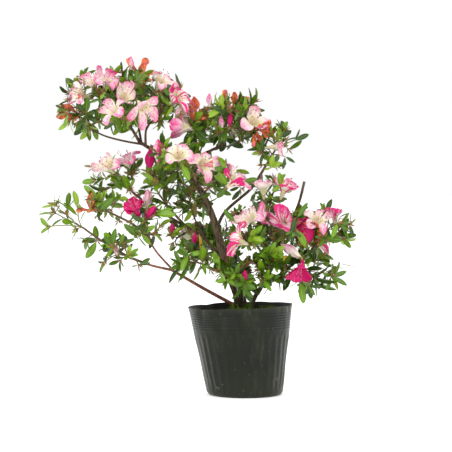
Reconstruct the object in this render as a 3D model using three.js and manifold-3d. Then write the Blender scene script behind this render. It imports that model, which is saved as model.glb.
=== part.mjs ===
// An azalea shrub in a soft black nursery pot, in millimetres, with +Z up.
// The origin is the centre of the pot's flat underside, and -Y is the front of the plant.
// The pot, the root ball, every limb and every mass of foliage is a mesh of its own.
import * as THREE from "three";
import { mergeVertices } from "three/addons/utils/BufferGeometryUtils.js";
import Module from "manifold-3d";

const wasm = await Module();
wasm.setup();

// Driving dimensions of the pot
const POT_HEIGHT = 130;
const POT_FOOT_RADIUS = 52;
const POT_FOOT_ROUNDING = 5;
const POT_RIM_RADIUS = 76;
const POT_LEAN = -7; // the rim stands this far along X from the middle of the foot
const POT_RIM_TILT = 0.032; // rise of the rim for each millimetre along X
const POT_WALL = 1.4;
const POT_FLOOR = 2.5;
const POT_FLUTES = 32;
const FLUTE_DEPTH = 1.1;
const FLUTE_TOP = 92;
const RIDGE_BAND = [96, 121]; // the ring ridges under the rim lie between these heights
const RIDGE_HEIGHT = 0.7;
const RIM_LIP = 0.4;

// Driving dimensions of the root ball
const GROUND = 123; // height of the level soil that the stems are cut at
const GROUND_RADIUS = 30;
const SOIL_EDGE_DROP = 6;
const SOIL_FOOT_GAP = 3;
const SOIL_SEGMENTS = 28;
const CLEARANCE = 0.35; // gap that touching solids keep

// Driving dimensions of the foliage
const LEAF_LENGTH = 31;
const LEAF_WIDTH = 11.5;
const LEAF_SPREAD = [38, 74]; // angles between a leaf and the shoot that it crowns, in degrees
const LEAF_GAP = 6; // least gap between the middles of two leaves
const LEAVES_ON_A_SHOOT = 5;
const ROSETTE_NOTCH = 2; // radius of the notches between the leaves of a rosette
const ROSETTE_RISE = [0.7, 1.3]; // heights of the notches and of the middle over the shoot's end
const LEAF_SPINE = [0.38, 0.68, 1]; // places along a leaf that are kept clear of other things
const LEAF_CLEARANCE = 3; // between a leaf's spine and a limb
const BLOOM_RADIUS = 25;
const BLOOM_DEPTH = 25;
const BLOOM_MIDDLE = 0.75; // a bloom is placed by this point, as a share of its depth
const BLOOM_ROLL = 0.8; // blooms are turned about their own axes by up to half of this, either way
const BLOOM_SHAPES = { // share of the open bloom's radius and of its depth
  magenta: [0.72, 1.1], closing_pale: [0.42, 1.25], closing_striped: [0.42, 1.25],
};
const FURLED = { // length and radius of the blooms that are furled or withered
  bud: [22, 4], withered: [20, 5.5], furled_pale: [30, 5.5], furled_striped: [30, 5.5],
  furled_magenta: [30, 5.5],
};
const FURLED_WAIST = 0.4; // place of the thickest part, as a share of the length
const STEM_STEPS = 3;
const STEM_SHARE = 0.86; // a stem ends this far along the line from its limb to the heart
const STEM_LEAN = 0.35; // how much of its first heading a stem takes from its limb
const STEM_BEND = 0.45; // length of that first heading, as a share of the stem's run
const STEM_RADIUS = [2, 1.5];
const SHOOT_SHARE = 0.48; // radius of a shoot's root, as a share of the radius of what it springs from
const SHOOT_TAPER = 0.95;
const SHOOT_TIP = 0.5; // least radius of a shoot's tip
const SHORTEST_SHOOT = 9;
const LONG_SHOOT = 42; // a longer one has a bend in it
const SHOOT_BEND = { along: 0.28, ahead: 0.22, sag: 0.05 }; // shares of the shoot's run
const SHORT_OF_AIM = [0.6, 0.55]; // most that a leafy shoot stops short, in leaf lengths and in runs
const PATH_CHECKS = [0.35, 0.6, 0.8, 1];
const FORK_SHARES = [0.4, 0.5, 0.6, 0.7, 0.8, 0.9, 1]; // places of the forks along a stem
const SECOND_ORDER = 1.3; // how much less readily a shoot springs from another shoot than from the stem
const SECOND_FORK = 0.6; // place of a shoot's own fork, along its first stretch
const FENCE_GAP = 0.3; // each side of the plane between two masses
const OVERHANG = 1.22; // the tips of leaves and petals may stand this far out, as a share of the reach

const GOLDEN_ANGLE = 2.399963;
const SPREAD_STEPS = [0.754878, 0.56984]; // steps of the low-discrepancy spread, and its starts
const SPREAD_STARTS = [0.3, 0.5];
const AIM_LIFTS = [1, -0.6]; // the aims lie between these heights of the space, as shares of its reach
const AIM_DEPTHS = [0.62, 1]; // and between these shares of the way from its heart to its edge
const UP = new THREE.Vector3(0, 0, 1);
const BACK = new THREE.Vector3(0, 1, 0);

const COLOURS = { // colour and roughness
  pot: [0x23272a, 0.5], soil: [0x3c2f22, 0.95], bark: [0x4d3d33, 0.85], leaf: [0x4f7d33, 0.55],
};

// Limbs. Each starts on the axis of the limb it grows from, at a share of that limb's length,
// bends through its own points and ends at its tip. The trunk and the second stem start at the soil.
const LIMBS = [
  { name: "trunk", start: [-7, 0, 115],
    bends: [[-8, 0, 142], [-20, 5, 172], [-36, 10, 222], [-53, 10, 274]], tip: [-83, 0, 331],
    radii: [8.2, 3.4], flare: 5, sides: 8, steps: 11 },
  { name: "second_stem", start: [4, 12, 115], bends: [[14, 10, 140], [31, 7, 170]], tip: [41, 2, 207],
    radii: [3.8, 2.4], flare: 1.5, sides: 5, steps: 5 },
  { name: "upper_left_bough", on: "trunk", at: 1, bends: [[-112, 3, 343]], tip: [-154, 5, 369],
    radii: [3.2, 2.5], flare: 0.3, sides: 5, steps: 5 },
  { name: "left_crown_limb", on: "upper_left_bough", at: 1, bends: [[-168, 1, 392]],
    tip: [-181, -2, 407], radii: [2.3, 1.7], flare: 0.3, sides: 4, steps: 3 },
  { name: "left_crown_twig", on: "upper_left_bough", at: 0.93,
    bends: [[-176, -2, 370], [-203, -8, 377]], tip: [-222, -8, 386], radii: [1.6, 1.2], flare: 0.2,
    sides: 4, steps: 4 },
  { name: "left_crown_fork", on: "upper_left_bough", at: 0.9, bends: [[-144, 4, 388]],
    tip: [-131, 2, 404], radii: [1.9, 1.3], flare: 0.3, sides: 4, steps: 3 },
  { name: "left_crown_back_limb", on: "upper_left_bough", at: 0.97, bends: [[-156, 22, 389]],
    tip: [-160, 42, 402], radii: [1.9, 1.4], flare: 0.3, sides: 4, steps: 3 },
  { name: "middle_bough", on: "trunk", at: 0.97, bends: [[-69, 3, 345]], tip: [-35, 10, 364],
    radii: [2.6, 1.9], flare: 0.3, sides: 5, steps: 4 },
  { name: "middle_right_limb", on: "middle_bough", at: 0.94, bends: [[-23, 6, 363]], tip: [-8, -4, 369],
    radii: [1.5, 1.2], flare: 0.2, sides: 4, steps: 3 },
  { name: "middle_left_limb", on: "middle_bough", at: 0.35, bends: [[-63, 10, 363]],
    tip: [-68, 12, 376], radii: [1.5, 1.1], flare: 0.2, sides: 4, steps: 3 },
  { name: "right_arm", on: "trunk", at: 0.68, bends: [[-27, 0, 269], [8, -8, 300]], tip: [24, -10, 324],
    radii: [2.5, 1.8], flare: 0.5, sides: 5, steps: 6 },
  { name: "centre_limb", on: "trunk", at: 0.88, bends: [[-78, -16, 314]], tip: [-88, -30, 325],
    radii: [1.9, 1.4], flare: 0.3, sides: 4, steps: 3 },
  { name: "left_middle_bough", on: "trunk", at: 0.45, bends: [[-60, 16, 228], [-88, 13, 245]],
    tip: [-152, 8, 285], radii: [2.9, 1.7], flare: 0.4, sides: 5, steps: 6 },
  { name: "inner_limb", on: "left_middle_bough", at: 0.3, bends: [[-70, 24, 248]], tip: [-76, 22, 262],
    radii: [1.7, 1.2], flare: 0.2, sides: 4, steps: 3 },
  { name: "lower_left_bough", on: "trunk", at: 0.08, bends: [[-38, -8, 143], [-66, -16, 159]],
    tip: [-106, -28, 183], radii: [2.9, 2.1], flare: 0.4, sides: 5, steps: 6 },
  { name: "left_low_outer_bough", on: "lower_left_bough", at: 1, bends: [[-135, -34, 190]],
    tip: [-164, -35, 200], radii: [1.9, 1.4], flare: 0.2, sides: 5, steps: 4 },
  { name: "left_low_upper_bough", on: "lower_left_bough", at: 0.97, bends: [[-128, -37, 210]],
    tip: [-142, -41, 235], radii: [1.6, 1.2], flare: 0.2, sides: 5, steps: 4 },
  { name: "right_low_bough", on: "trunk", at: 0.2, bends: [[22, -10, 162], [46, -16, 168]],
    tip: [62, -18, 173], radii: [2.3, 1.5], flare: 0.3, sides: 5, steps: 5 },
  { name: "right_low_outer", on: "right_low_bough", at: 0.8, bends: [[70, -10, 192]],
    tip: [97, -8, 212], radii: [1.5, 1.2], flare: 0.2, sides: 4, steps: 4 },
  { name: "right_upper_limb", on: "second_stem", at: 0.78, bends: [[29, 8, 236]], tip: [35, 4, 272],
    radii: [1.8, 1.2], flare: 0.2, sides: 4, steps: 4 },
  { name: "pruned_stub", on: "second_stem", at: 1, bends: [[60, 6, 236], [78, 5, 277]],
    tip: [87, 5, 311], radii: [2.1, 1.9], flare: 0.2, sides: 5, steps: 6 },
];

// Masses of foliage. Each has a heart and a reach along X, Y and Z, which bound its own space,
// tips that its longest shoots run to, and blooms with the way they face: a turn from +X and a
// lift, in degrees. Its other shoots are dealt out evenly through its space by the growth rule.
const MASSES = [
  { name: "left_crown_outer", on: "left_crown_twig", at: 1, heart: [-234, -4, 430], reach: [50, 54, 64],
    shoots: 3, tips: [[-248, 0, 472], [-258, -10, 401], [-226, -20, 384]],
    blooms: [["withered", [-252, -20, 413], -130, 20], ["white", [-240, -18, 437], -172, 12],
      ["pale", [-221, -8, 455], -115, 60]] },
  { name: "left_crown_middle", on: "left_crown_limb", at: 1, heart: [-166, -18, 432], reach: [60, 62, 64],
    shoots: 3, tips: [[-196, 0, 480], [-186, 4, 484], [-144, 5, 480], [-196, -45, 384], [-168, -92, 392]],
    blooms: [["bud", [-166, -5, 488], -90, 80], ["withered", [-150, -5, 476], -60, 50],
      ["pink", [-200, -20, 458], -60, 60], ["flecked", [-188, -64, 412], -100, 5],
      ["pale", [-174, -38, 432], -80, 10], ["flecked", [-146, -58, 416], -70, -10]] },
  { name: "left_crown_right", on: "left_crown_fork", at: 1, heart: [-106, 0, 428], reach: [44, 52, 54],
    shoots: 4, tips: [[-98, -5, 404], [-120, -5, 388]],
    blooms: [["white", [-122, -12, 457], -20, 50], ["striped", [-100, -20, 432], -15, 40],
      ["pale", [-94, -4, 412], -25, 5]] },
  { name: "left_crown_back", on: "left_crown_back_limb", at: 1, heart: [-172, 64, 428],
    reach: [62, 48, 56], shoots: 5, tips: [],
    blooms: [["white", [-199, 88, 442], 120, 30], ["flecked", [-148, 90, 434], 70, 35]] },
  { name: "middle_crown_left", on: "middle_left_limb", at: 1, heart: [-72, 4, 398], reach: [36, 46, 40],
    shoots: 3, tips: [[-84, 5, 378]],
    blooms: [["pink", [-89, -12, 390], 175, 10], ["withered", [-71, -5, 410], -60, 45]] },
  { name: "middle_crown_right", on: "middle_right_limb", at: 1, heart: [-10, -6, 406],
    reach: [62, 50, 44], shoots: 4, tips: [[-35, 5, 431], [14, 5, 424], [-6, -10, 364]],
    blooms: [["bud", [-52, -8, 434], -90, 80], ["withered", [-13, -4, 428], -60, 50],
      ["bud", [-35, -24, 400], -100, 60], ["bud", [-21, -20, 405], -60, 75],
      ["white", [12, -28, 398], -55, 38], ["withered", [24, -26, 382], -50, -20]] },
  { name: "middle_crown_back", on: "middle_bough", at: 1, heart: [-34, 66, 396], reach: [60, 48, 46],
    shoots: 5, tips: [],
    blooms: [["white", [-52, 90, 408], 110, 35], ["flecked", [-8, 90, 402], 70, 30]] },
  { name: "right_arm_spray", on: "right_arm", at: 1, heart: [46, -10, 360], reach: [44, 46, 54],
    shoots: 3, tips: [[18, -5, 356], [46, -5, 384], [68, -10, 368], [16, -12, 334]],
    blooms: [["closing_pale", [40, -24, 361], -20, 5]] },
  { name: "centre_front", on: "centre_limb", at: 1, heart: [-100, -40, 342], reach: [54, 52, 48],
    shoots: 4, tips: [[-122, -50, 322]],
    blooms: [["white", [-95, -68, 348], -90, 48], ["furled_striped", [-125, -46, 360], -100, 84],
      ["orange_hearted", [-60, -58, 335], -60, 5]] },
  { name: "centre_right", on: "trunk", at: 0.86, heart: [-24, -33, 315], reach: [56, 50, 42],
    shoots: 4, tips: [[-2, -40, 322], [14, -40, 306]],
    blooms: [["magenta_edged", [-15, -52, 312], -30, 35]] },
  { name: "centre_back", on: "trunk", at: 0.82, heart: [-82, 66, 321], reach: [66, 52, 56],
    shoots: 5, tips: [],
    blooms: [["white", [-109, 90, 340], 130, 25], ["striped", [-58, 92, 325], 70, 15]] },
  { name: "left_middle_spray", on: "left_middle_bough", at: 1, heart: [-190, 2, 322],
    reach: [56, 52, 46], shoots: 4, tips: [[-226, 0, 314]],
    blooms: [["white", [-199, -20, 333], -135, 35], ["pink", [-172, -8, 342], -150, 55]] },
  { name: "left_inner_spray", on: "left_middle_bough", at: 0.62, heart: [-132, -4, 300],
    reach: [42, 50, 52], shoots: 4, tips: [[-118, -5, 282]],
    blooms: [["furled_magenta", [-138, -14, 340], -100, -70], ["furled_pale", [-141, -22, 288], -90, 82]] },
  { name: "left_far_shoot", on: "left_low_outer_bough", at: 1, heart: [-246, -32, 252],
    reach: [72, 32, 62], shoots: 2,
    tips: [[-286, -36, 288], [-268, -36, 276], [-250, -38, 240], [-236, -32, 220]], blooms: [] },
  { name: "left_far_spray", on: "left_low_upper_bough", at: 1, heart: [-206, -32, 272],
    reach: [54, 42, 38], shoots: 4, tips: [[-222, -34, 290]],
    blooms: [["withered", [-226, -40, 279], -140, 40]] },
  { name: "left_low_tuft", on: "left_low_outer_bough", at: 0.6, heart: [-184, -52, 210],
    reach: [44, 38, 42], shoots: 4, tips: [[-190, -38, 190]],
    blooms: [["bud", [-187, -56, 218], -120, 60]] },
  { name: "left_pink_tuft", on: "left_low_upper_bough", at: 0.8, heart: [-142, -48, 257],
    reach: [44, 46, 44], shoots: 3, tips: [[-122, -42, 238], [-142, -100, 252]],
    blooms: [["magenta", [-156, -60, 271], -100, 45], ["furled_magenta", [-134, -54, 268], -50, 40]] },
  { name: "left_bud_sprig", on: "left_middle_bough", at: 0.55, heart: [-104, -6, 226],
    reach: [32, 30, 34], shoots: 2, tips: [[-110, -10, 214], [-92, -2, 226]],
    blooms: [["bud", [-106, -10, 246], -95, 75]] },
  { name: "low_left_front", on: "trunk", at: 0.35, heart: [-78, -30, 199], reach: [44, 42, 40],
    shoots: 4, tips: [[-92, -32, 186], [-66, -25, 182]],
    blooms: [["bud", [-73, -25, 232], -90, 80]] },
  { name: "inner_left", on: "inner_limb", at: 1, heart: [-80, 14, 280], reach: [38, 40, 42],
    shoots: 4, tips: [[-100, 5, 272]], blooms: [] },
  { name: "low_centre", on: "trunk", at: 0.24, heart: [-14, -46, 178], reach: [50, 42, 42],
    shoots: 3, tips: [[-14, -55, 164], [-40, -45, 166], [-16, -98, 184]],
    blooms: [["bud", [-1, -62, 180], -80, 70]] },
  { name: "low_back", on: "trunk", at: 0.3, heart: [-49, 64, 212], reach: [66, 50, 56],
    shoots: 5, tips: [], blooms: [["white", [-73, 92, 229], 120, 20]] },
  { name: "right_upper_sprig", on: "right_upper_limb", at: 1, heart: [42, -6, 298],
    reach: [50, 46, 42], shoots: 3, tips: [[16, 0, 290], [72, 0, 304]],
    blooms: [["pale", [26, -12, 301], -165, 58], ["striped", [57, -14, 300], -25, 55]] },
  { name: "right_centre", on: "second_stem", at: 0.92, heart: [8, -38, 246], reach: [46, 50, 48],
    shoots: 3, tips: [[-16, -40, 224]],
    blooms: [["flecked", [6, -58, 259], -160, 20], ["striped", [-11, -64, 227], -160, 20],
      ["furled_pale", [24, -42, 271], -90, 82]] },
  { name: "right_middle", on: "pruned_stub", at: 0.3, heart: [66, -26, 247], reach: [46, 54, 46],
    shoots: 3, tips: [[84, -8, 268], [66, -88, 238]],
    blooms: [["hot", [51, -42, 253], -100, 40], ["magenta", [78, -26, 246], -20, 20]] },
  { name: "right_far", on: "right_low_outer", at: 1, heart: [120, -12, 243], reach: [50, 48, 42],
    shoots: 3, tips: [[148, -8, 244], [140, -12, 228]],
    blooms: [["flecked", [104, -28, 256], -90, 50], ["closing_striped", [130, -12, 258], -80, 78],
      ["withered", [96, -30, 236], -110, -20]] },
  { name: "right_low", on: "right_low_bough", at: 1, heart: [96, -24, 182], reach: [62, 48, 46],
    shoots: 3, tips: [[142, -22, 174], [128, -18, 196], [86, -25, 158], [108, -25, 164]],
    blooms: [["magenta", [80, -50, 186], -90, -72], ["furled_pale", [62, -40, 214], 170, 35]] },
  { name: "right_back", on: "second_stem", at: 0.6, heart: [65, 62, 230], reach: [66, 52, 56],
    shoots: 5, tips: [],
    blooms: [["white", [39, 90, 258], 100, 35], ["hot", [84, 92, 246], 70, 30],
      ["striped", [106, 80, 221], 30, 10]] },
  { name: "right_low_front", on: "right_low_bough", at: 0.4, heart: [36, -46, 190], reach: [40, 42, 38],
    shoots: 4, tips: [[22, -50, 172]], blooms: [] },
];

const vec = (place) => new THREE.Vector3(...place);
const mix = (a, b, share) => a.clone().lerp(b, share);

// A small seeded generator, so that the plant grows the same way each time.
function seeded(seed) {
  let state = (Math.imul(seed, 2654435761) + 12345) >>> 0;
  const draw = () => {
    state = (Math.imul(state, 1664525) + 1013904223) >>> 0;
    return state / 4294967296;
  };
  for (let i = 0; i < 3; i++) draw();
  return draw;
}

function solidOf(geometry) {
  geometry.deleteAttribute("normal");
  geometry.deleteAttribute("uv");
  const merged = mergeVertices(geometry, 1e-5);
  return new wasm.Manifold(new wasm.Mesh({
    numProp: 3,
    vertProperties: Float32Array.from(merged.attributes.position.array),
    triVerts: Uint32Array.from(merged.index.array),
  }));
}

// Loose scraps and sealed hollows are both separate shells, so the largest shell is the body.
function biggestBody(solid) {
  return solid.decompose().reduce((a, b) => (b.volume() > a.volume() ? b : a));
}

function meshOf(name, solid, colour) {
  const { vertProperties, triVerts } = solid.getMesh();
  const geometry = new THREE.BufferGeometry();
  geometry.setAttribute("position", new THREE.BufferAttribute(vertProperties, 3));
  geometry.setIndex(new THREE.BufferAttribute(triVerts, 1));
  geometry.computeVertexNormals();
  const [shade, roughness] = COLOURS[colour];
  const finish = new THREE.MeshStandardMaterial({ color: shade, roughness, metalness: 0 });
  const mesh = new THREE.Mesh(geometry, finish);
  mesh.name = name;
  return mesh;
}

function reshape(geometry, place) {
  const spots = geometry.attributes.position;
  const spot = new THREE.Vector3();
  for (let i = 0; i < spots.count; i++) {
    spot.fromBufferAttribute(spots, i);
    spots.setXYZ(i, ...place(spot).toArray());
  }
  return geometry;
}

// A tapered limb: a cylinder whose rings are carried along a curve. A longer one reaches past both ends.
function limbSolid(curve, radiusAt, sides, steps, extra = 0) {
  const frames = curve.computeFrenetFrames(steps, false);
  const geometry = reshape(new THREE.CylinderGeometry(1, 1, 1, sides, steps), (spot) => {
    const along = THREE.MathUtils.clamp(spot.y + 0.5, 0, 1);
    const ring = Math.round(along * steps);
    const radius = radiusAt(along) + extra;
    const end = ring === 0 ? -extra : ring === steps ? extra : 0;
    return curve.getPointAt(along)
      .addScaledVector(frames.tangents[ring], end)
      .addScaledVector(frames.normals[ring], spot.x * radius)
      .addScaledVector(frames.binormals[ring], -spot.z * radius);
  });
  return solidOf(geometry);
}

function limbCurve(limb, byName) {
  const first = limb.on ? byName[limb.on].curve.getPoint(limb.at) : vec(limb.start);
  return new THREE.CatmullRomCurve3([first, ...limb.bends.map(vec), vec(limb.tip)], false, "catmullrom", 0.5);
}

const FLARE_FADE = 12;
function radiusOf(limb) {
  const [foot, tip] = limb.radii;
  return (along) => THREE.MathUtils.lerp(foot, tip, along) + limb.flare * Math.exp(-FLARE_FADE * along);
}

// Limbs are made in order. Each is cut by the swollen shapes of the limbs before it, so that it
// meets the limb it grows from with an even gap. Stems from the soil are cut flat at the ground.
function buildLimbs() {
  const ground = solidOf(new THREE.BoxGeometry(200, 200, 40).translate(0, 0, GROUND + CLEARANCE - 20));
  const byName = {};
  for (const limb of LIMBS) {
    const curve = limbCurve(limb, byName);
    const radiusAt = radiusOf(limb);
    let solid = limbSolid(curve, radiusAt, limb.sides, limb.steps);
    for (const before of Object.values(byName)) solid = solid.subtract(before.swollen);
    if (!limb.on) solid = solid.subtract(ground);
    const chain = [];
    for (let i = 0; i <= limb.steps; i++) {
      const along = i / limb.steps;
      chain.push({ at: curve.getPointAt(along), radius: radiusAt(along) });
    }
    byName[limb.name] = {
      curve, radiusAt, chain, solid: biggestBody(solid),
      swollen: limbSolid(curve, radiusAt, limb.sides, limb.steps, CLEARANCE),
    };
  }
  return byName;
}

// The plane between two masses stands across the line between their hearts, nearer the smaller one.
function fencesOf(mass) {
  const fences = [];
  for (const other of MASSES) {
    if (other === mass) continue;
    const line = vec(other.heart).sub(vec(mass.heart));
    const apart = line.length();
    const normal = line.clone().divideScalar(apart);
    const own = OVERHANG * vec(mass.reach).multiply(normal).length();
    const theirs = OVERHANG * vec(other.reach).multiply(normal).length();
    if (own + theirs < apart) continue;
    fences.push({ at: vec(mass.heart).addScaledVector(normal, apart * own / (own + theirs)), normal });
  }
  return fences;
}

function insideSpace(space, spot, margin) {
  const share = spot.clone().sub(space.heart).divide(space.reach).length();
  if (share > OVERHANG) return false;
  return space.fences.every((fence) => spot.clone().sub(fence.at).dot(fence.normal) < -FENCE_GAP - margin);
}

function gapToSegment(spot, a, b) {
  const line = b.clone().sub(a);
  const share = THREE.MathUtils.clamp(spot.clone().sub(a).dot(line) / line.lengthSq(), 0, 1);
  return spot.distanceTo(a.clone().addScaledVector(line, share));
}

function clearOfLimbs(chains, spot, margin) {
  for (const chain of chains) {
    for (let i = 1; i < chain.length; i++) {
      if (gapToSegment(spot, chain[i - 1].at, chain[i].at) < chain[i - 1].radius + margin) return false;
    }
  }
  return true;
}

const bentPath = (from, bend, to) => new THREE.QuadraticBezierCurve3(from, bend, to);

// The stem of a mass leaves its limb partly along the limb and partly towards the heart.
function stemOf(mass, limbs) {
  const limb = limbs[mass.on];
  const from = limb.curve.getPoint(mass.at);
  const to = mix(from, vec(mass.heart), STEM_SHARE);
  const run = to.distanceTo(from);
  const towards = to.clone().sub(from).normalize();
  const heading = towards.lerp(limb.curve.getTangent(mass.at), STEM_LEAN).normalize();
  return bentPath(from, from.clone().addScaledVector(heading, run * STEM_BEND), to);
}

// The places that shoots aim for: a low-discrepancy spread through the outer part of the space.
function aimOf(space, seed, number) {
  const [lift, out] = [AIM_LIFTS, AIM_DEPTHS].map((range, i) => (
    THREE.MathUtils.lerp(...range, (number * SPREAD_STEPS[i] + SPREAD_STARTS[i]) % 1)));
  const turn = number * GOLDEN_ANGLE + seed;
  const flat = Math.sqrt(1 - lift * lift);
  return new THREE.Vector3(flat * Math.cos(turn), flat * Math.sin(turn), lift)
    .multiplyScalar(out).multiply(space.reach).add(space.heart);
}

function facing(turn, lift) {
  const [along, up] = [THREE.MathUtils.degToRad(turn), THREE.MathUtils.degToRad(lift)];
  return new THREE.Vector3(Math.cos(up) * Math.cos(along), Math.cos(up) * Math.sin(along), Math.sin(up));
}

// A shoot springs from the fork that reaches its aim with the shortest and straightest run.
function springFor(forks, aim) {
  let best = null;
  let least = Infinity;
  for (const fork of forks) {
    const line = aim.clone().sub(fork.at);
    const run = line.length();
    if (run < SHORTEST_SHOOT) continue;
    const cost = fork.weight * run * (1.5 - 0.5 * line.dot(fork.heading) / run);
    if (cost < least) {
      least = cost;
      best = fork;
    }
  }
  return best;
}

function shootPath(fork, aim) {
  const run = aim.distanceTo(fork.at);
  const bend = mix(fork.at, aim, SHOOT_BEND.ahead)
    .addScaledVector(fork.heading, run * SHOOT_BEND.along)
    .addScaledVector(UP, -run * SHOOT_BEND.sag);
  return bentPath(fork.at, bend, aim);
}

// A shoot that ends in leaves stops short of its aim by most of a leaf's length.
function shortOf(aim, from) {
  const run = aim.distanceTo(from);
  const [leaves, runs] = SHORT_OF_AIM;
  return mix(aim, from, Math.min(LEAF_LENGTH * leaves, run * runs) / run);
}

// A bloom is a funnel on a narrow tube, with five blunt lobes: each has a notch and two
// shoulders on the rim.
const LOBE_TURNS = [-36, -13, 13];
const LOBE_REACH = [0.5, 1, 1];
const LOBE_HEIGHT = [0.66, 1, 1];
const TUBE_RADIUS = 2.6;
const TUBE_SHARE = 0.28; // height at which the tube opens, as a share of the bloom's depth
const THROAT_SHARE = 0.45;
const BLOOM_FOOT = 3; // a bloom's shoot runs this far into the tube
function bloomSpot(bloom, turn, radius, height) {
  return bloom.base.clone()
    .addScaledVector(bloom.heading, height)
    .addScaledVector(bloom.side, radius * Math.cos(turn + bloom.roll))
    .addScaledVector(bloom.rise, radius * Math.sin(turn + bloom.roll));
}

function rimOf(bloom) {
  const [wide, tall] = BLOOM_SHAPES[bloom.kind] ?? [1, 1];
  const rim = [];
  for (let lobe = 0; lobe < 5; lobe++) {
    LOBE_TURNS.forEach((angle, corner) => {
      const turn = THREE.MathUtils.degToRad(lobe * 72 + angle);
      const spot = bloomSpot(bloom, turn, BLOOM_RADIUS * wide * LOBE_REACH[corner],
        BLOOM_DEPTH * tall * LOBE_HEIGHT[corner]);
      rim.push({ turn, spot });
    });
  }
  return rim;
}

// The frames of a twig are carried back from its tip, and each ring stands halfway between the
// directions of the stretches that it joins.
function twigFrames(path, steps, tipSide) {
  const spots = path.getPoints(steps);
  const runs = spots.slice(1).map((spot, i) => spot.clone().sub(spots[i]).normalize());
  const frames = [];
  let side = tipSide ?? squareTo(runs.at(-1))[1];
  for (let i = steps; i >= 0; i--) {
    const heading = (runs[i] ?? runs[i - 1]).clone().add(runs[i - 1] ?? runs[i]).normalize();
    side = side.clone().addScaledVector(heading, -side.dot(heading)).normalize();
    frames.unshift({ at: spots[i], heading, side, rise: new THREE.Vector3().crossVectors(heading, side) });
  }
  return frames;
}

function ringOf(frame, radius) {
  return [0, 1, 2].map((corner) => frame.at.clone()
    .addScaledVector(frame.side, radius * Math.cos(corner * 2 * Math.PI / 3))
    .addScaledVector(frame.rise, radius * Math.sin(corner * 2 * Math.PI / 3)));
}

// A twig is a stack of three-cornered rings. It ends flat, in a leaf, in a bud or in a bloom.
function twigSolid(rings, ending = { corners: [], faces: [[0, 1, 2]] }) {
  const faces = [[0, 2, 1]];
  for (let i = 1; i < rings.length; i++) {
    for (let corner = 0; corner < 3; corner++) {
      const [here, next] = [3 * i + corner, 3 * i + (corner + 1) % 3];
      faces.push([here - 3, next - 3, next], [here - 3, next, here]);
    }
  }
  const last = 3 * (rings.length - 1);
  for (const face of ending.faces) faces.push(face.map((corner) => last + corner));
  const geometry = new THREE.BufferGeometry().setFromPoints([...rings.flat(), ...ending.corners]);
  geometry.setIndex(faces.flat());
  return solidOf(geometry);
}

// The blades of a bloom or a rosette: a funnel between a twig's last ring, a rim and a middle.
function funnel(rim, middle) {
  const centre = 3 + rim.length;
  const nearest = (turn) => Math.round(turn / (2 * Math.PI / 3)) % 3;
  const faces = [];
  rim.forEach(({ turn }, i) => {
    const after = (i + 1) % rim.length;
    const [here, next] = [3 + i, 3 + after];
    const [corner, nextCorner] = [nearest(turn), nearest(rim[after].turn)];
    faces.push([corner, next, here], [centre, here, next]);
    if (corner !== nextCorner) faces.push([corner, nextCorner, next]);
  });
  return { corners: [...rim.map(({ spot }) => spot), middle], faces };
}

const POINT = [[0, 1, 3], [1, 2, 3], [2, 0, 3]];
const budEnding = (bloom) => ({ corners: [bloomSpot(bloom, 0, 0, FURLED[bloom.kind][0])], faces: POINT });

const bloomEnding = (bloom) => funnel(rimOf(bloom), bloomSpot(bloom, 0, 0, BLOOM_DEPTH * THROAT_SHARE));

// The way of a bloom's first lobe.
function bloomSide({ side, rise, roll }) {
  return side.clone().multiplyScalar(Math.cos(roll)).addScaledVector(rise, Math.sin(roll));
}

// The ring where a bloom's tube opens, or where a bud is thickest.
function collarOf(bloom) {
  const furled = FURLED[bloom.kind];
  const [radius, height] = furled
    ? [furled[1], furled[0] * FURLED_WAIST]
    : [TUBE_RADIUS, BLOOM_DEPTH * TUBE_SHARE];
  return [0, 1, 2].map((corner) => bloomSpot(bloom, corner * 2 * Math.PI / 3, radius, height));
}

// Two directions square to a heading, the first of them level where it can be.
function squareTo(heading) {
  const steep = Math.abs(heading.z) > 0.95;
  const side = new THREE.Vector3().crossVectors(steep ? BACK : UP, heading).normalize();
  return [side, new THREE.Vector3().crossVectors(heading, side)];
}

const near = (spots, marks, gap) => spots.some((spot) => marks.some((mark) => mark.distanceTo(spot) < gap));

// A leaf that would leave the space, touch a limb or run into a bloom or another leaf is skipped.
function leafFits(space, blooms, leaves, { edge, spine }) {
  if (!edge.every((spot) => insideSpace(space, spot, 0))) return false;
  if (![...edge, ...spine].every((spot) => clearOfLimbs(space.chains, spot, LEAF_CLEARANCE))) return false;
  if (leaves.some((other) => near(spine, other.spine, LEAF_GAP))) return false;
  const open = blooms.filter((bloom) => !FURLED[bloom.kind]).map((bloom) => bloom.middle);
  return !near(spine.slice(1), open, BLOOM_RADIUS);
}

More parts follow.
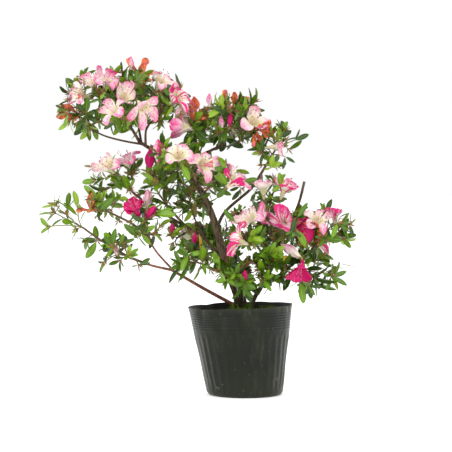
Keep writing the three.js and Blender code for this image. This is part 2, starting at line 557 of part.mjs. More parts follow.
// A rosette of leaves ends a shoot. Each leaf has two shoulders and a tip on the rim. A leaf that
// doesn't fit is tried once more at a smaller size, and then left out.
function rosette(space, blooms, leaves, frame, draw) {
  const { at, heading, side, rise } = frame;
  const outward = (turn) => side.clone().multiplyScalar(Math.cos(turn)).addScaledVector(rise, Math.sin(turn));
  const rim = [];
  let grown = 0;
  for (let i = 0; i < LEAVES_ON_A_SHOOT; i++) {
    const between = 2 * Math.PI / LEAVES_ON_A_SHOOT;
    const turn = (i + 0.5 + 0.2 * (draw() - 0.5)) * between;
    const spread = THREE.MathUtils.degToRad(THREE.MathUtils.lerp(...LEAF_SPREAD, draw()));
    const share = 0.85 + 0.3 * draw();
    const out = outward(turn);
    const along = heading.clone().multiplyScalar(Math.cos(spread)).addScaledVector(out, Math.sin(spread));
    const across = new THREE.Vector3().crossVectors(heading, out);
    rim.push({ turn: i * between, spot: at.clone().addScaledVector(heading, ROSETTE_RISE[0])
      .addScaledVector(outward(i * between), ROSETTE_NOTCH) });
    for (const size of [share, 0.7 * share]) {
      const spot = (l, w) => at.clone().addScaledVector(along, l * LEAF_LENGTH * size)
        .addScaledVector(across, w * LEAF_WIDTH * size);
      const [left, tip, right] = [spot(0.5, -0.5), spot(1, 0), spot(0.5, 0.5)];
      const leaf = { edge: [left, tip, right], spine: LEAF_SPINE.map((place) => mix(at, tip, place)) };
      if (!leafFits(space, blooms, leaves, leaf)) continue;
      rim.push(...leaf.edge.map((corner) => ({ turn, spot: corner })));
      leaves.push(leaf);
      grown++;
      break;
    }
  }
  return grown ? funnel(rim, at.clone().addScaledVector(heading, ROSETTE_RISE[1])) : undefined;
}

function plannedBlooms(mass, draw) {
  return mass.blooms.map(([kind, at, turn, lift]) => {
    const heading = facing(turn, lift);
    const [side, rise] = squareTo(heading);
    const depth = FURLED[kind] ? FURLED[kind][0] : BLOOM_DEPTH;
    const base = vec(at).addScaledVector(heading, -depth * BLOOM_MIDDLE);
    return { kind, base, heading, side, rise, middle: vec(at), roll: (draw() - 0.5) * BLOOM_ROLL };
  });
}

// A bloom that reaches over a fence is moved back by as much as it reaches over.
function nudged(space, bloom) {
  const furled = FURLED[bloom.kind];
  const margin = FENCE_GAP + (furled ? furled[0] / 2 : 0.2);
  for (let round = 0; round < 4; round++) {
    for (const fence of space.fences) {
      const spots = furled ? [bloom.middle] : [bloom.base, ...rimOf(bloom).map(({ spot }) => spot)];
      const over = margin + Math.max(...spots.map((spot) => spot.clone().sub(fence.at).dot(fence.normal)));
      if (over <= 0) continue;
      bloom.base.addScaledVector(fence.normal, -over);
      bloom.middle.addScaledVector(fence.normal, -over);
    }
  }
  return bloom;
}

function bloomFits(space, bloom) {
  if (FURLED[bloom.kind]) return insideSpace(space, bloom.middle, FURLED[bloom.kind][1]);
  return rimOf(bloom).every(({ spot }) => insideSpace(space, spot, 0) && clearOfLimbs(space.chains, spot, 1)
    && clearOfLimbs(space.chains, mix(bloom.base, spot, 0.7), 1));
}

function pathFits(space, path) {
  return PATH_CHECKS.every((along) => {
    const spot = path.getPoint(along);
    return insideSpace(space, spot, 1) && clearOfLimbs(space.chains, spot, 2);
  });
}

// A mass's own space: an ellipsoid, cut by the fences against the other masses, with the limbs
// and the other masses' stems as things to keep clear of.
function spaceOf(mass, limbs, stems) {
  const others = stems.filter((stem) => stem.name !== mass.name).map((stem) => stem.chain);
  return {
    heart: vec(mass.heart), reach: vec(mass.reach), fences: fencesOf(mass),
    chains: [...Object.values(limbs).map((limb) => limb.chain), ...others],
  };
}

const stemRadius = (along) => THREE.MathUtils.lerp(...STEM_RADIUS, along);

// The places along a stem that shoots may spring from.
function forksOf(space, stem) {
  return FORK_SHARES.map((along) => ({
    at: stem.getPoint(along), heading: stem.getTangent(along), weight: 1, radius: stemRadius(along),
  })).filter(({ at }) => insideSpace(space, at, STEM_RADIUS[0]));
}

// The growth rule. Shoots go first to the blooms, then to the named tips, then through the space.
function shootsOf(mass, number, space, blooms) {
  const toBloom = (bloom) => ({ aim: bloom.base.clone().addScaledVector(bloom.heading, BLOOM_FOOT), bloom });
  const spread = Array.from({ length: mass.shoots }, (_, i) => ({ aim: aimOf(space, number, i) }));
  return [...blooms.map(toBloom), ...mass.tips.map((tip) => ({ aim: vec(tip) })), ...spread];
}

// One shoot, from the fork that it springs from to its rosette, bud or bloom.
function growShoot(space, blooms, leaves, forks, { aim, bloom }, draw) {
  const fork = springFor(forks, aim);
  const path = fork && shootPath(fork, bloom ? aim : shortOf(aim, fork.at));
  if (!path || !pathFits(space, path)) return [];
  const steps = path.getLength() > LONG_SHOOT ? 2 : 1;
  const frames = twigFrames(path, steps, bloom && bloomSide(bloom));
  const root = fork.radius * SHOOT_SHARE;
  const end = Math.max(SHOOT_TIP, SHOOT_TAPER * root);
  const rings = frames.map((frame, ring) => ringOf(frame, THREE.MathUtils.lerp(root, end, ring / steps)));
  if (fork.weight === 1) {
    forks.push({
      at: mix(frames[0].at, frames[1].at, SECOND_FORK), heading: frames.at(-1).heading,
      weight: SECOND_ORDER, radius: (root + end) / 2,
    });
  }
  if (!bloom) return [twigSolid(rings, rosette(space, blooms, leaves, frames.at(-1), draw))];
  rings.push(collarOf(bloom));
  return [twigSolid(rings, FURLED[bloom.kind] ? budEnding(bloom) : bloomEnding(bloom))];
}

function growMass(mass, number, limbs, stems) {
  const space = spaceOf(mass, limbs, stems);
  const stem = stems[number].path;
  const rings = twigFrames(stem, STEM_STEPS).map((frame, i) => ringOf(frame, stemRadius(i / STEM_STEPS)));
  const pieces = [twigSolid(rings)];
  const forks = forksOf(space, stem);
  const blooms = plannedBlooms(mass, seeded(number + 1))
    .filter((bloom) => bloomFits(space, nudged(space, bloom)));
  const leaves = [];
  shootsOf(mass, number, space, blooms).forEach((shoot, i) => {
    pieces.push(...growShoot(space, blooms, leaves, forks, shoot, seeded(1000 * (number + 1) + i)));
  });
  let solid = pieces.reduce((all, piece) => all.add(piece));
  for (const limb of Object.values(limbs)) solid = solid.subtract(limb.swollen);
  return biggestBody(solid);
}

function stemChains(limbs) {
  return MASSES.map((mass) => {
    const path = stemOf(mass, limbs);
    const chain = path.getPoints(6).map((at) => ({ at, radius: STEM_RADIUS[0] }));
    return { name: mass.name, path, chain };
  });
}

// The soft pot: fluted below, ringed with fine ridges under the rim, leaning a little to one side.
function potRadius(height) {
  return THREE.MathUtils.lerp(POT_FOOT_RADIUS + POT_FOOT_ROUNDING * 0.6, POT_RIM_RADIUS, height / POT_HEIGHT);
}

function potPlace(spot) {
  const turn = Math.atan2(spot.z, spot.x);
  const height = spot.y;
  const share = THREE.MathUtils.clamp(height / POT_HEIGHT, 0, 1);
  const flute = FLUTE_DEPTH * (0.5 - 0.5 * Math.cos(POT_FLUTES * turn));
  const fluted = height > POT_FOOT_ROUNDING && height < FLUTE_TOP;
  const radius = Math.hypot(spot.x, spot.z) - (fluted ? flute : 0);
  return new THREE.Vector3(
    radius * Math.cos(turn) + POT_LEAN * share,
    -radius * Math.sin(turn),
    height + POT_RIM_TILT * radius * Math.cos(turn) * share ** 3);
}

// The profile of the inside, as radii and heights. The root ball follows it with an even gap.
const POT_INSIDE = [
  [POT_RIM_RADIUS - POT_WALL, POT_HEIGHT],
  [potRadius(RIDGE_BAND[0]) - POT_WALL - FLUTE_DEPTH, RIDGE_BAND[0] - 8],
  [POT_FOOT_RADIUS - 6, POT_FLOOR],
  [0, POT_FLOOR],
];

const lathed = (profile, segments) => new THREE.LatheGeometry(
  profile.map(([radius, height]) => new THREE.Vector2(radius, height)), segments);

function pot() {
  const [low, high] = RIDGE_BAND;
  const outside = [
    [0, 0],
    [POT_FOOT_RADIUS, 0],
    [potRadius(POT_FOOT_ROUNDING), POT_FOOT_ROUNDING],
    [potRadius(FLUTE_TOP - 1), FLUTE_TOP - 1],
    [potRadius(low), low],
    [potRadius((low + high) / 2) + RIDGE_HEIGHT, (low + high) / 2],
    [potRadius(high), high],
    [POT_RIM_RADIUS + RIM_LIP, POT_HEIGHT - 1.5],
    [POT_RIM_RADIUS, POT_HEIGHT],
  ];
  return solidOf(turnedOut(reshape(lathed([...outside, ...POT_INSIDE], 2 * POT_FLUTES), potPlace)));
}

// A lathe's faces follow the order of its profile, so a shape that comes out inside out is reversed.
function turnedOut(geometry) {
  const merged = mergeVertices(geometry.deleteAttribute("normal").deleteAttribute("uv"), 1e-4);
  const corners = merged.index.array;
  const spots = merged.attributes.position;
  const corner = (number) => new THREE.Vector3().fromBufferAttribute(spots, number);
  const kept = [];
  let volume = 0;
  for (let i = 0; i < corners.length; i += 3) {
    const [p, q, r] = corners.slice(i, i + 3);
    if (p === q || q === r || r === p) continue;
    kept.push([p, q, r]);
    volume += corner(p).dot(corner(q).cross(corner(r)));
  }
  merged.setIndex(kept.flatMap(([p, q, r]) => (volume > 0 ? [p, q, r] : [p, r, q])));
  return merged;
}

// The root ball fills the pot to just under its rim and is level round the stems.
function rootBall() {
  const edge = GROUND - SOIL_EDGE_DROP;
  const edgeRadius = potRadius(edge) - POT_WALL - 2 * FLUTE_DEPTH - 1;
  const foot = POT_FLOOR + CLEARANCE;
  const [, [waistRadius, waist], [footRadius]] = POT_INSIDE;
  const profile = [
    [0, foot],
    [footRadius - SOIL_FOOT_GAP, foot],
    [waistRadius - FLUTE_DEPTH - CLEARANCE, waist],
    [edgeRadius, edge],
    [(GROUND_RADIUS + edgeRadius) / 2, GROUND - 0.4 * SOIL_EDGE_DROP],
    [GROUND_RADIUS, GROUND],
    [0, GROUND],
  ];
  return solidOf(turnedOut(reshape(lathed(profile, SOIL_SEGMENTS), (spot) => new THREE.Vector3(
    spot.x + POT_LEAN * spot.y / POT_HEIGHT, -spot.z, spot.y))));
}

const limbs = buildLimbs();
const stems = stemChains(limbs);
const plant = new THREE.Group();
plant.add(meshOf("pot", pot(), "pot"));
plant.add(meshOf("root_ball", rootBall(), "soil"));
for (const [name, limb] of Object.entries(limbs)) plant.add(meshOf(name, limb.solid, "bark"));
MASSES.forEach((mass, number) => plant.add(meshOf(mass.name, growMass(mass, number, limbs, stems), "leaf")));

export default plant;
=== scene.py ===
import bisect
import math

import bpy
from mathutils import Matrix, Vector, noise


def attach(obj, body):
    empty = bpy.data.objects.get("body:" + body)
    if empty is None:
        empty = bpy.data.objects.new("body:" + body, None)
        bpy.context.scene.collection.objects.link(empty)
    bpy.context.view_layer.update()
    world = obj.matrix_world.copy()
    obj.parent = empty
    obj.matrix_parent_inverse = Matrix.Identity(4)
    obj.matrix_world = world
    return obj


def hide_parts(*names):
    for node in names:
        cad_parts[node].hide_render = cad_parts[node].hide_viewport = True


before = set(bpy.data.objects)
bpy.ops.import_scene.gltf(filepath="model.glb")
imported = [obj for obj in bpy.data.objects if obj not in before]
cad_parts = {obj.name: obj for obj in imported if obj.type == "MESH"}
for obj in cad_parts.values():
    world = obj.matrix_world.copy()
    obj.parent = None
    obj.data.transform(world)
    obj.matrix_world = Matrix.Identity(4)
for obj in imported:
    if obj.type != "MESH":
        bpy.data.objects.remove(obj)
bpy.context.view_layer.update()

MM = 0.001  # sizes below are in millimetres and become metres as each piece is made


# The pot is a soft nursery pot of thin black polythene. It was drawn in a mould, which left
# shallow flutes below and fine rings under the rim, and handling has made the rim wavy.
POT_HEIGHT = 130
POT_FOOT_RADIUS = 52
POT_FOOT_ROUNDING = 5
POT_RIM_RADIUS = 76
POT_LEAN = -7  # how far the rim stands to the left of the foot
POT_RIM_TILT = 0.032
POT_WALL = 0.9
POT_FLUTES = 32
POT_SEGMENTS = 10 * POT_FLUTES  # ten corners for each flute
FLUTE_DEPTH = 1.1
FLUTE_FOOT = (4, 16)  # the heights over which the flutes deepen
FLUTE_HEAD = (84, 92)  # the heights over which they fade
RIDGE_BAND = (97, 122)
RIDGE_FADE = 2
RIDGE_PITCH = 3.6
RIDGE_HEIGHT = 0.5
WALL_OVAL = 0.6
WALL_CREASE = 0.8
RIM_WAVE = 0.3
RIM_LIFT = 0.25
RIM_DENTS = [(3.87, 0.09, 2.2), (4.35, 0.2, 0.7), (5.9, 0.07, 1.2),
             (0.9, 0.16, 1.2), (2.3, 0.12, 1.4)]  # turn, spread, depth
FOOT_DUST = (0.0, 0.05)  # this height and the next two are in metres, as a finish has them
SPLASHED = (0.03, 0.1)
RIM_DUST = (0.122, 0.135)
BLACK = "181c13"


def paint(code):
    """The linear colour of a six-figure screen colour."""
    parts = [int(code[i:i + 2], 16) / 255 for i in (0, 2, 4)]
    return (*[p / 12.92 if p <= 0.04045 else ((p + 0.055) / 1.055) ** 2.4 for p in parts], 1.0)


def smooth(low, high, value):
    """0 up to low, 1 from high, and a soft step between them."""
    share = min(max((value - low) / (high - low), 0.0), 1.0)
    return share * share * (3 - 2 * share)


class Socket:
    """One output of a finish's nodes. Arithmetic on it adds Math nodes."""

    def __init__(self, finish, output):
        self.finish = finish
        self.output = output

    def reckon(self, operation, *values):
        return self.finish.node("ShaderNodeMath", {"operation": operation}, dict(enumerate(values)))

    def __add__(self, other):
        return self.reckon("ADD", self, other)

    def __sub__(self, other):
        return self.reckon("SUBTRACT", self, other)

    def __rsub__(self, other):
        return self.reckon("SUBTRACT", other, self)

    def __mul__(self, other):
        return self.reckon("MULTIPLY", self, other)

    __radd__ = __add__
    __rmul__ = __mul__

    def between(self, low, high):
        """The same soft step as smooth."""
        return self.finish.node("ShaderNodeMapRange", {"interpolation_type": "SMOOTHSTEP"},
                                {"Value": self, "From Min": low, "From Max": high})


class Finish:
    """A material whose nodes are written as Python expressions."""

    def __init__(self, name, colour, roughness, specular=0.5):
        self.material = bpy.data.materials.new(name)
        self.material.use_nodes = True
        self.tree = self.material.node_tree
        self.shader = self.tree.nodes["Principled BSDF"]
        self.shader.inputs["Base Color"].default_value = paint(colour)
        self.shader.inputs["Roughness"].default_value = roughness
        self.shader.inputs["Specular IOR Level"].default_value = specular
        self.material.diffuse_color = paint(colour)

    def node(self, kind, settings, sockets, output=0):
        made = self.tree.nodes.new(kind)
        for name, value in settings.items():
            setattr(made, name, value)
        for name, value in sockets.items():
            self.feed(made.inputs[name], value)
        return Socket(self, made.outputs[output])

    def feed(self, socket, value):
        if isinstance(value, Socket):
            self.tree.links.new(value.output, socket)
        else:
            socket.default_value = value

    def place(self):
        return self.node("ShaderNodeTexCoord", {}, {}, "Object")

    def grain(self, scale, detail=4.0, stretch=(1, 1, 1), rough=0.55):
        """Fine mottling, drawn out or pressed together by a stretch on each axis."""
        stretched = self.node("ShaderNodeVectorMath", {"operation": "MULTIPLY"},
                              {0: self.place(), 1: stretch}, "Vector")
        return self.node("ShaderNodeTexNoise", {},
                         {"Vector": stretched, "Scale": scale, "Detail": detail, "Roughness": rough}, "Fac")

    def height(self):
        return self.node("ShaderNodeSeparateXYZ", {}, {"Vector": self.place()}, "Z")

    def blend(self, share, first, second):
        """The first colour where share is 0 and the second where it is 1."""
        # in a Mix node, input 0 is the share, inputs 6 and 7 are the colours, and output 2 is their mix
        return self.node("ShaderNodeMix", {"data_type": "RGBA"}, {0: share, 6: first, 7: second}, 2)

    def wear(self, **sockets):
        """Feeds the shader's own sockets: colour, roughness, and relief as a height and a depth."""
        for name, value in sockets.items():
            if name == "relief":
                height, depth = value
                bump = self.node("ShaderNodeBump", {}, {"Height": height, "Distance": depth, "Strength": 1.0})
                self.feed(self.shader.inputs["Normal"], bump)
            else:
                self.feed(self.shader.inputs[name.replace("_", " ").title()], value)


class Heap:
    """Corners, faces and finishes of things of one kind, joined into one piece."""

    def __init__(self, name, finishes):
        self.name = name
        self.finishes = finishes
        self.spots = []
        self.faces = []
        self.numbers = []

    def add(self, spots, faces, finish=None):
        """Adds faces in one finish, the heap's first if none is given, or in a list of finish numbers."""
        first = len(self.spots)
        self.spots.extend(spots)
        self.faces.extend([first + corner for corner in face] for face in faces)
        number = self.finishes.index(finish) if isinstance(finish, Finish) else 0
        self.numbers.extend(finish if isinstance(finish, list) else [number] * len(faces))

    def piece(self, slot, nodes=()):
        mesh = bpy.data.meshes.new(self.name)
        mesh.from_pydata([tuple(c * MM for c in spot) for spot in self.spots], [], self.faces)
        for finish in self.finishes:
            mesh.materials.append(finish.material)
        mesh.polygons.foreach_set("material_index", self.numbers)
        mesh.polygons.foreach_set("use_smooth", [True] * len(self.faces))
        mesh.update()
        made = bpy.data.objects.new(self.name, mesh)
        bpy.context.scene.collection.objects.link(made)
        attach(made, "root")
        if nodes:
            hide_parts(*nodes)


def woven(rows, columns, closed=True):
    """Faces of a grid of corners, row after row, closed on itself along each row if asked."""
    faces = []
    for row in range(rows - 1):
        for column in range(columns if closed else columns - 1):
            after = (column + 1) % columns
            first = row * columns
            faces.append((first + column, first + after, first + columns + after, first + columns + column))
    return faces


def pot_radius(height):
    share = height / POT_HEIGHT
    return (POT_FOOT_RADIUS + POT_FOOT_ROUNDING * 0.6) * (1 - share) + POT_RIM_RADIUS * share


def noise_round(turn, wave, lift):
    """Noise that runs round the pot and meets itself."""
    return noise.noise(Vector((math.cos(turn) * wave, math.sin(turn) * wave, lift)))


def pot_spot(turn, radius, height):
    """A corner of the wall, with the flutes and rings of the mould and the waves and dents of handling."""
    share = min(max(height / POT_HEIGHT, 0.0), 1.0)
    low, high = RIDGE_BAND
    fluted = smooth(*FLUTE_FOOT, height) * (1 - smooth(*FLUTE_HEAD, height))
    ringed = smooth(low, low + RIDGE_FADE, height) * (1 - smooth(high - RIDGE_FADE, high, height))
    slack = share ** 4
    worn = 0.75 + 0.9 * noise_round(turn, 2.6, 7)
    radius -= FLUTE_DEPTH * worn * (0.5 - 0.5 * math.cos(POT_FLUTES * turn)) * fluted
    radius += RIDGE_HEIGHT * math.sin(2 * math.pi * height / RIDGE_PITCH) * ringed
    radius += WALL_OVAL * math.sin(2 * turn + 0.6) * share + RIM_WAVE * math.sin(5 * turn + 0.4) * slack
    lift = RIM_LIFT * math.sin(7 * turn + 1.0) * slack
    for middle, spread, depth in RIM_DENTS:
        away = (turn - middle + math.pi) % (2 * math.pi) - math.pi
        dent = depth * math.exp(-(away / spread) ** 2)
        radius -= dent * share ** 8
        lift -= 0.7 * dent * share ** 12
    radius += WALL_CREASE * noise_round(turn, 2.2, height * 0.03) * smooth(2, 20, height)
    across, back = radius * math.cos(turn), radius * math.sin(turn)
    return across + POT_LEAN * share, back, height + POT_RIM_TILT * across * share ** 3 + lift


pot_profile = [(0.5, 0.0), (20, 0.0), (POT_FOOT_RADIUS - 4, 0.0), (POT_FOOT_RADIUS - 1, 0.2),
               (POT_FOOT_RADIUS + 1.2, 1.2), (POT_FOOT_RADIUS + 2.4, 2.8),
               (pot_radius(POT_FOOT_ROUNDING), POT_FOOT_ROUNDING)]
pot_profile += [(pot_radius(h), h) for h in range(7, RIDGE_BAND[0], 3)]
pot_profile += [(pot_radius(h / 5), h / 5) for h in range(5 * RIDGE_BAND[0], 5 * RIDGE_BAND[1], 4)]
pot_profile += [(pot_radius(h), h) for h in (123, 125, 127, 128.5)]
pot_profile += [(POT_RIM_RADIUS + 0.3, 129.3), (POT_RIM_RADIUS + 0.1, POT_HEIGHT),
                (POT_RIM_RADIUS - POT_WALL * 0.6, 130.1), (POT_RIM_RADIUS - POT_WALL, 129.4)]
pot_profile += [(pot_radius(h) - POT_WALL, h) for h in (127, 124, 121, 118, 114, 110)]

polythene = Finish("black_polythene", BLACK, 0.5, 0.18)
streaks = polythene.grain(1.0, 5.0, (90, 90, 7)).between(0.5, 0.8)
scuffs = polythene.grain(70.0, 6.0, (1, 1, 0.5), 0.7).between(0.62, 0.74)
foot_dust = 1 - polythene.height().between(*FOOT_DUST)
splashes = polythene.grain(80.0, 3.0, (1, 1, 1.3), 0.5).between(0.68, 0.72) * foot_dust
low_down = 1 - polythene.height().between(*SPLASHED)
specks = polythene.grain(230.0, 2.0).between(0.69, 0.74) * low_down
scratches = polythene.grain(75.0, 4.0, (1, 1, 0.35), 0.6).between(0.66, 0.72)
rim_dust = polythene.height().between(*RIM_DUST)
smears = polythene.grain(26.0, 6.0, (1, 1, 0.55), 0.75).between(0.52, 0.78)
film = streaks * 0.1 + scuffs * 0.2 + smears * 0.2 + foot_dust * 0.06 + rim_dust * 0.16
dulled = polythene.blend(film, paint(BLACK), paint("64684f"))
spotted = polythene.blend(splashes * 0.2 + specks * 0.2 + scratches * 0.16, dulled, paint("a9af9e"))
polythene.wear(Base_Color=spotted, Roughness=0.33 + film * 0.6,
               relief=(polythene.grain(110.0, 3.0, (1, 1, 0.4)), 0.001))

pot = Heap("nursery_pot", [polythene])
rings = [[pot_spot(2 * math.pi * i / POT_SEGMENTS, radius, height) for i in range(POT_SEGMENTS)]
         for radius, height in pot_profile]
pot.add([spot for ring in rings for spot in ring], woven(len(rings), POT_SEGMENTS))
pot.add(rings[0], [tuple(reversed(range(POT_SEGMENTS)))])
pot.piece("pot", ["pot"])


# The soil is a dark, peaty mix with bark crumbs, settled a little below the rim and mounded
# at the stems. Green moss has grown round the foot of the trunk and towards the right.
GROUND = 123
GROUND_RADIUS = 30  # of the level ground round the stems
SOIL_EDGE_DROP = 6
SOIL_GAP = 0.6  # between the soil and the wall
SOIL_RINGS = 34
SOIL_SEGMENTS = 120
CRUMBS = 900
CRUMB_SIZES = (0.8, 3.0)
CRUMB_CORNERS = [(1, 0, 0), (-0.8, 0.2, 0), (0, 0.8, 0.1), (0.1, -0.7, 0), (0, 0.1, 0.5), (0, 0, -0.5)]
CRUMB_FACES = [(0, 2, 4), (2, 1, 4), (1, 3, 4), (3, 0, 4), (2, 0, 5), (1, 2, 5), (3, 1, 5), (0, 3, 5)]
DARK_CRUMB_SHARE = 0.6
MOSS_SEATS = [(-14, -4, 14, 9), (3, -8, 14, 9), (-4, 10, 16, 4),
              (40, -8, 15, 8), (53, 0, 12, 7), (28, 12, 13, 5)]  # across, back, radius, height
MOSS_SWELL = 0.6  # how far moss lifts the ground, for each unit of its height
MOSS_BLADES = 5200
MOSS_BLADE_HALF = 0.55  # half of a blade's width
DEEP_MOSS_SHARE = 0.55
LITTER_EDGE = 4  # how far crumbs and moss keep from the wall


def seeded(seed):
    """A small seeded generator, the same as the source's, so that the plant grows the same way."""
    state = (seed * 2654435761 + 12345) & 0xFFFFFFFF

    def draw():
        nonlocal state
        state = (state * 1664525 + 1013904223) & 0xFFFFFFFF
        return state / 4294967296
    for _ in range(3):
        draw()
    return draw


def mixed(low, high, share):
    return low + (high - low) * share


def moss_height(x, y):
    return max(high * (1 - smooth(0.3 * wide, wide, math.hypot(x - mx, y - my)))
               for mx, my, wide, high in MOSS_SEATS)


def soil_height(x, y):
    out = math.hypot(x - POT_LEAN, y)
    fall = SOIL_EDGE_DROP * smooth(GROUND_RADIUS, 70, out)
    rough = 1.2 * noise.noise(Vector((x, y, 3)) * 0.12) + 0.5 * noise.noise(Vector((x, y, 9)) * 0.4)
    return GROUND - fall + rough + MOSS_SWELL * (moss_height(x, y) - 1)


def in_the_pot(radius, turn):
    """Across and back, from a radius and a turn about the middle of the soil."""
    return radius * math.cos(turn) + POT_LEAN, radius * math.sin(turn)


soil_edge = pot_radius(GROUND - SOIL_EDGE_DROP) - POT_WALL - SOIL_GAP
peat = Finish("peaty_soil", "3a2b1f", 0.95, 0.2)
peat.wear(Base_Color=peat.blend(peat.grain(420.0, 5.0).between(0.35, 0.65), paint("1d150f"), paint("5a4632")),
          relief=(peat.grain(600.0, 4.0), 0.0015))
crumb_dark = Finish("dark_bark_crumb", "2a1d14", 0.9, 0.2)
crumb_light = Finish("light_bark_crumb", "6d5339", 0.9, 0.2)
moss_deep = Finish("deep_moss", "3f5a1d", 0.8, 0.2)
moss_bright = Finish("bright_moss", "7c9433", 0.8, 0.2)
soil = Heap("soil_and_moss", [peat, crumb_dark, crumb_light, moss_deep, moss_bright])
soil_spots = []
for ring in range(SOIL_RINGS):
    for i in range(SOIL_SEGMENTS):
        radius = max(0.5, soil_edge * ring / (SOIL_RINGS - 1))
        x, y = in_the_pot(radius, 2 * math.pi * i / SOIL_SEGMENTS)
        soil_spots.append((x, y, soil_height(x, y)))
soil.add(soil_spots, woven(SOIL_RINGS, SOIL_SEGMENTS))
soil.add(soil_spots[:SOIL_SEGMENTS], [tuple(range(SOIL_SEGMENTS))])
draw = seeded(77)
for _ in range(CRUMBS):
    x, y = in_the_pot((soil_edge - LITTER_EDGE) * math.sqrt(draw()), 2 * math.pi * draw())
    size = mixed(*CRUMB_SIZES, draw() ** 2)
    middle = Vector((x, y, soil_height(x, y)))
    roll = Matrix.Rotation(6 * draw(), 3, Vector((draw(), draw(), draw() + 0.1)).normalized())
    soil.add([middle + roll @ (Vector(corner) * size) for corner in CRUMB_CORNERS], CRUMB_FACES,
             crumb_dark if draw() < DARK_CRUMB_SHARE else crumb_light)
for i in range(MOSS_BLADES):
    mx, my, wide, high = MOSS_SEATS[i % len(MOSS_SEATS)]
    radius, turn = wide * math.sqrt(draw()), 2 * math.pi * draw()
    x, y = mx + radius * math.cos(turn), my + radius * math.sin(turn)
    if math.hypot(x - POT_LEAN, y) > soil_edge - LITTER_EDGE:
        continue
    foot = Vector((x, y, soil_height(x, y) - 0.3))
    tip = foot + Vector((draw() - 0.5, draw() - 0.5, 0.6 + draw())) * (1.2 + 0.5 * moss_height(x, y))
    side = Vector((math.cos(turn * 3), math.sin(turn * 3), 0)) * MOSS_BLADE_HALF
    soil.add([foot - side, foot + side, tip], [(0, 1, 2)],
             moss_deep if draw() < DEEP_MOSS_SHARE else moss_bright)
soil.piece("root_ball", ["root_ball"])


# The trunk leans to the left from a flared foot and carries forked boughs. Old bark is grey-brown
# and fissured, almost black at the foot, and the thin young boughs are smooth and red-brown.
FLARE_FADE = 12
CURVE_STEPS = 160  # marks along a curve, from which its length is measured
CHAIN_STEP = 12  # between the marks that the leaves and shoots keep clear of
TRUNK_STEP = 2.0
LIMB_STEP = 3.0
RED_BOUGHS = ("lower_left_bough", "left_low_outer_bough", "left_low_upper_bough",
              "right_low_bough", "right_low_outer")
# For each limb: the place where it starts, or the limb that it forks from and the share of that
# limb's length, then its bends and tip, its radius at the start and at the tip, and its flare.
LIMBS = {
    "trunk": ((-7, 0, 115),
              [(-8, 0, 142), (-20, 5, 172), (-36, 10, 222), (-53, 10, 274), (-83, 0, 331)], 8.2, 3.4, 5),
    "second_stem": ((4, 12, 115), [(14, 10, 140), (31, 7, 170), (41, 2, 207)], 3.8, 2.4, 1.5),
    "upper_left_bough": (("trunk", 1), [(-112, 3, 343), (-154, 5, 369)], 3.2, 2.5, 0.3),
    "left_crown_limb": (("upper_left_bough", 1), [(-168, 1, 392), (-181, -2, 407)], 2.3, 1.7, 0.3),
    "left_crown_twig": (("upper_left_bough", 0.93),
                        [(-176, -2, 370), (-203, -8, 377), (-222, -8, 386)], 1.6, 1.2, 0.2),
    "left_crown_fork": (("upper_left_bough", 0.9), [(-144, 4, 388), (-131, 2, 404)], 1.9, 1.3, 0.3),
    "left_crown_back_limb": (("upper_left_bough", 0.97), [(-156, 22, 389), (-160, 42, 402)], 1.9, 1.4, 0.3),
    "middle_bough": (("trunk", 0.97), [(-69, 3, 345), (-35, 10, 364)], 2.6, 1.9, 0.3),
    "middle_right_limb": (("middle_bough", 0.94), [(-23, 6, 363), (-8, -4, 369)], 1.5, 1.2, 0.2),
    "middle_left_limb": (("middle_bough", 0.35), [(-63, 10, 363), (-68, 12, 376)], 1.5, 1.1, 0.2),
    "right_arm": (("trunk", 0.68), [(-27, 0, 269), (8, -8, 300), (24, -10, 324)], 2.5, 1.8, 0.5),
    "centre_limb": (("trunk", 0.88), [(-78, -16, 314), (-88, -30, 325)], 1.9, 1.4, 0.3),
    "left_middle_bough": (("trunk", 0.45), [(-60, 16, 228), (-88, 13, 245), (-152, 8, 285)], 2.9, 1.7, 0.4),
    "inner_limb": (("left_middle_bough", 0.3), [(-70, 24, 248), (-76, 22, 262)], 1.7, 1.2, 0.2),
    "lower_left_bough": (("trunk", 0.08), [(-38, -8, 143), (-66, -16, 159), (-106, -28, 183)], 2.9, 2.1, 0.4),
    "left_low_outer_bough": (("lower_left_bough", 1), [(-135, -34, 190), (-164, -35, 200)], 1.9, 1.4, 0.2),
    "left_low_upper_bough": (("lower_left_bough", 0.97), [(-128, -37, 210), (-142, -41, 235)], 1.6, 1.2, 0.2),
    "right_low_bough": (("trunk", 0.2), [(22, -10, 162), (46, -16, 168), (62, -18, 173)], 2.3, 1.5, 0.3),
    "right_low_outer": (("right_low_bough", 0.8), [(70, -10, 192), (97, -8, 212)], 1.5, 1.2, 0.2),
    "right_upper_limb": (("second_stem", 0.78), [(29, 8, 236), (35, 4, 272)], 1.8, 1.2, 0.2),
    "pruned_stub": (("second_stem", 1), [(60, 6, 236), (78, 5, 277), (87, 5, 311)], 2.1, 1.9, 0.2),
}


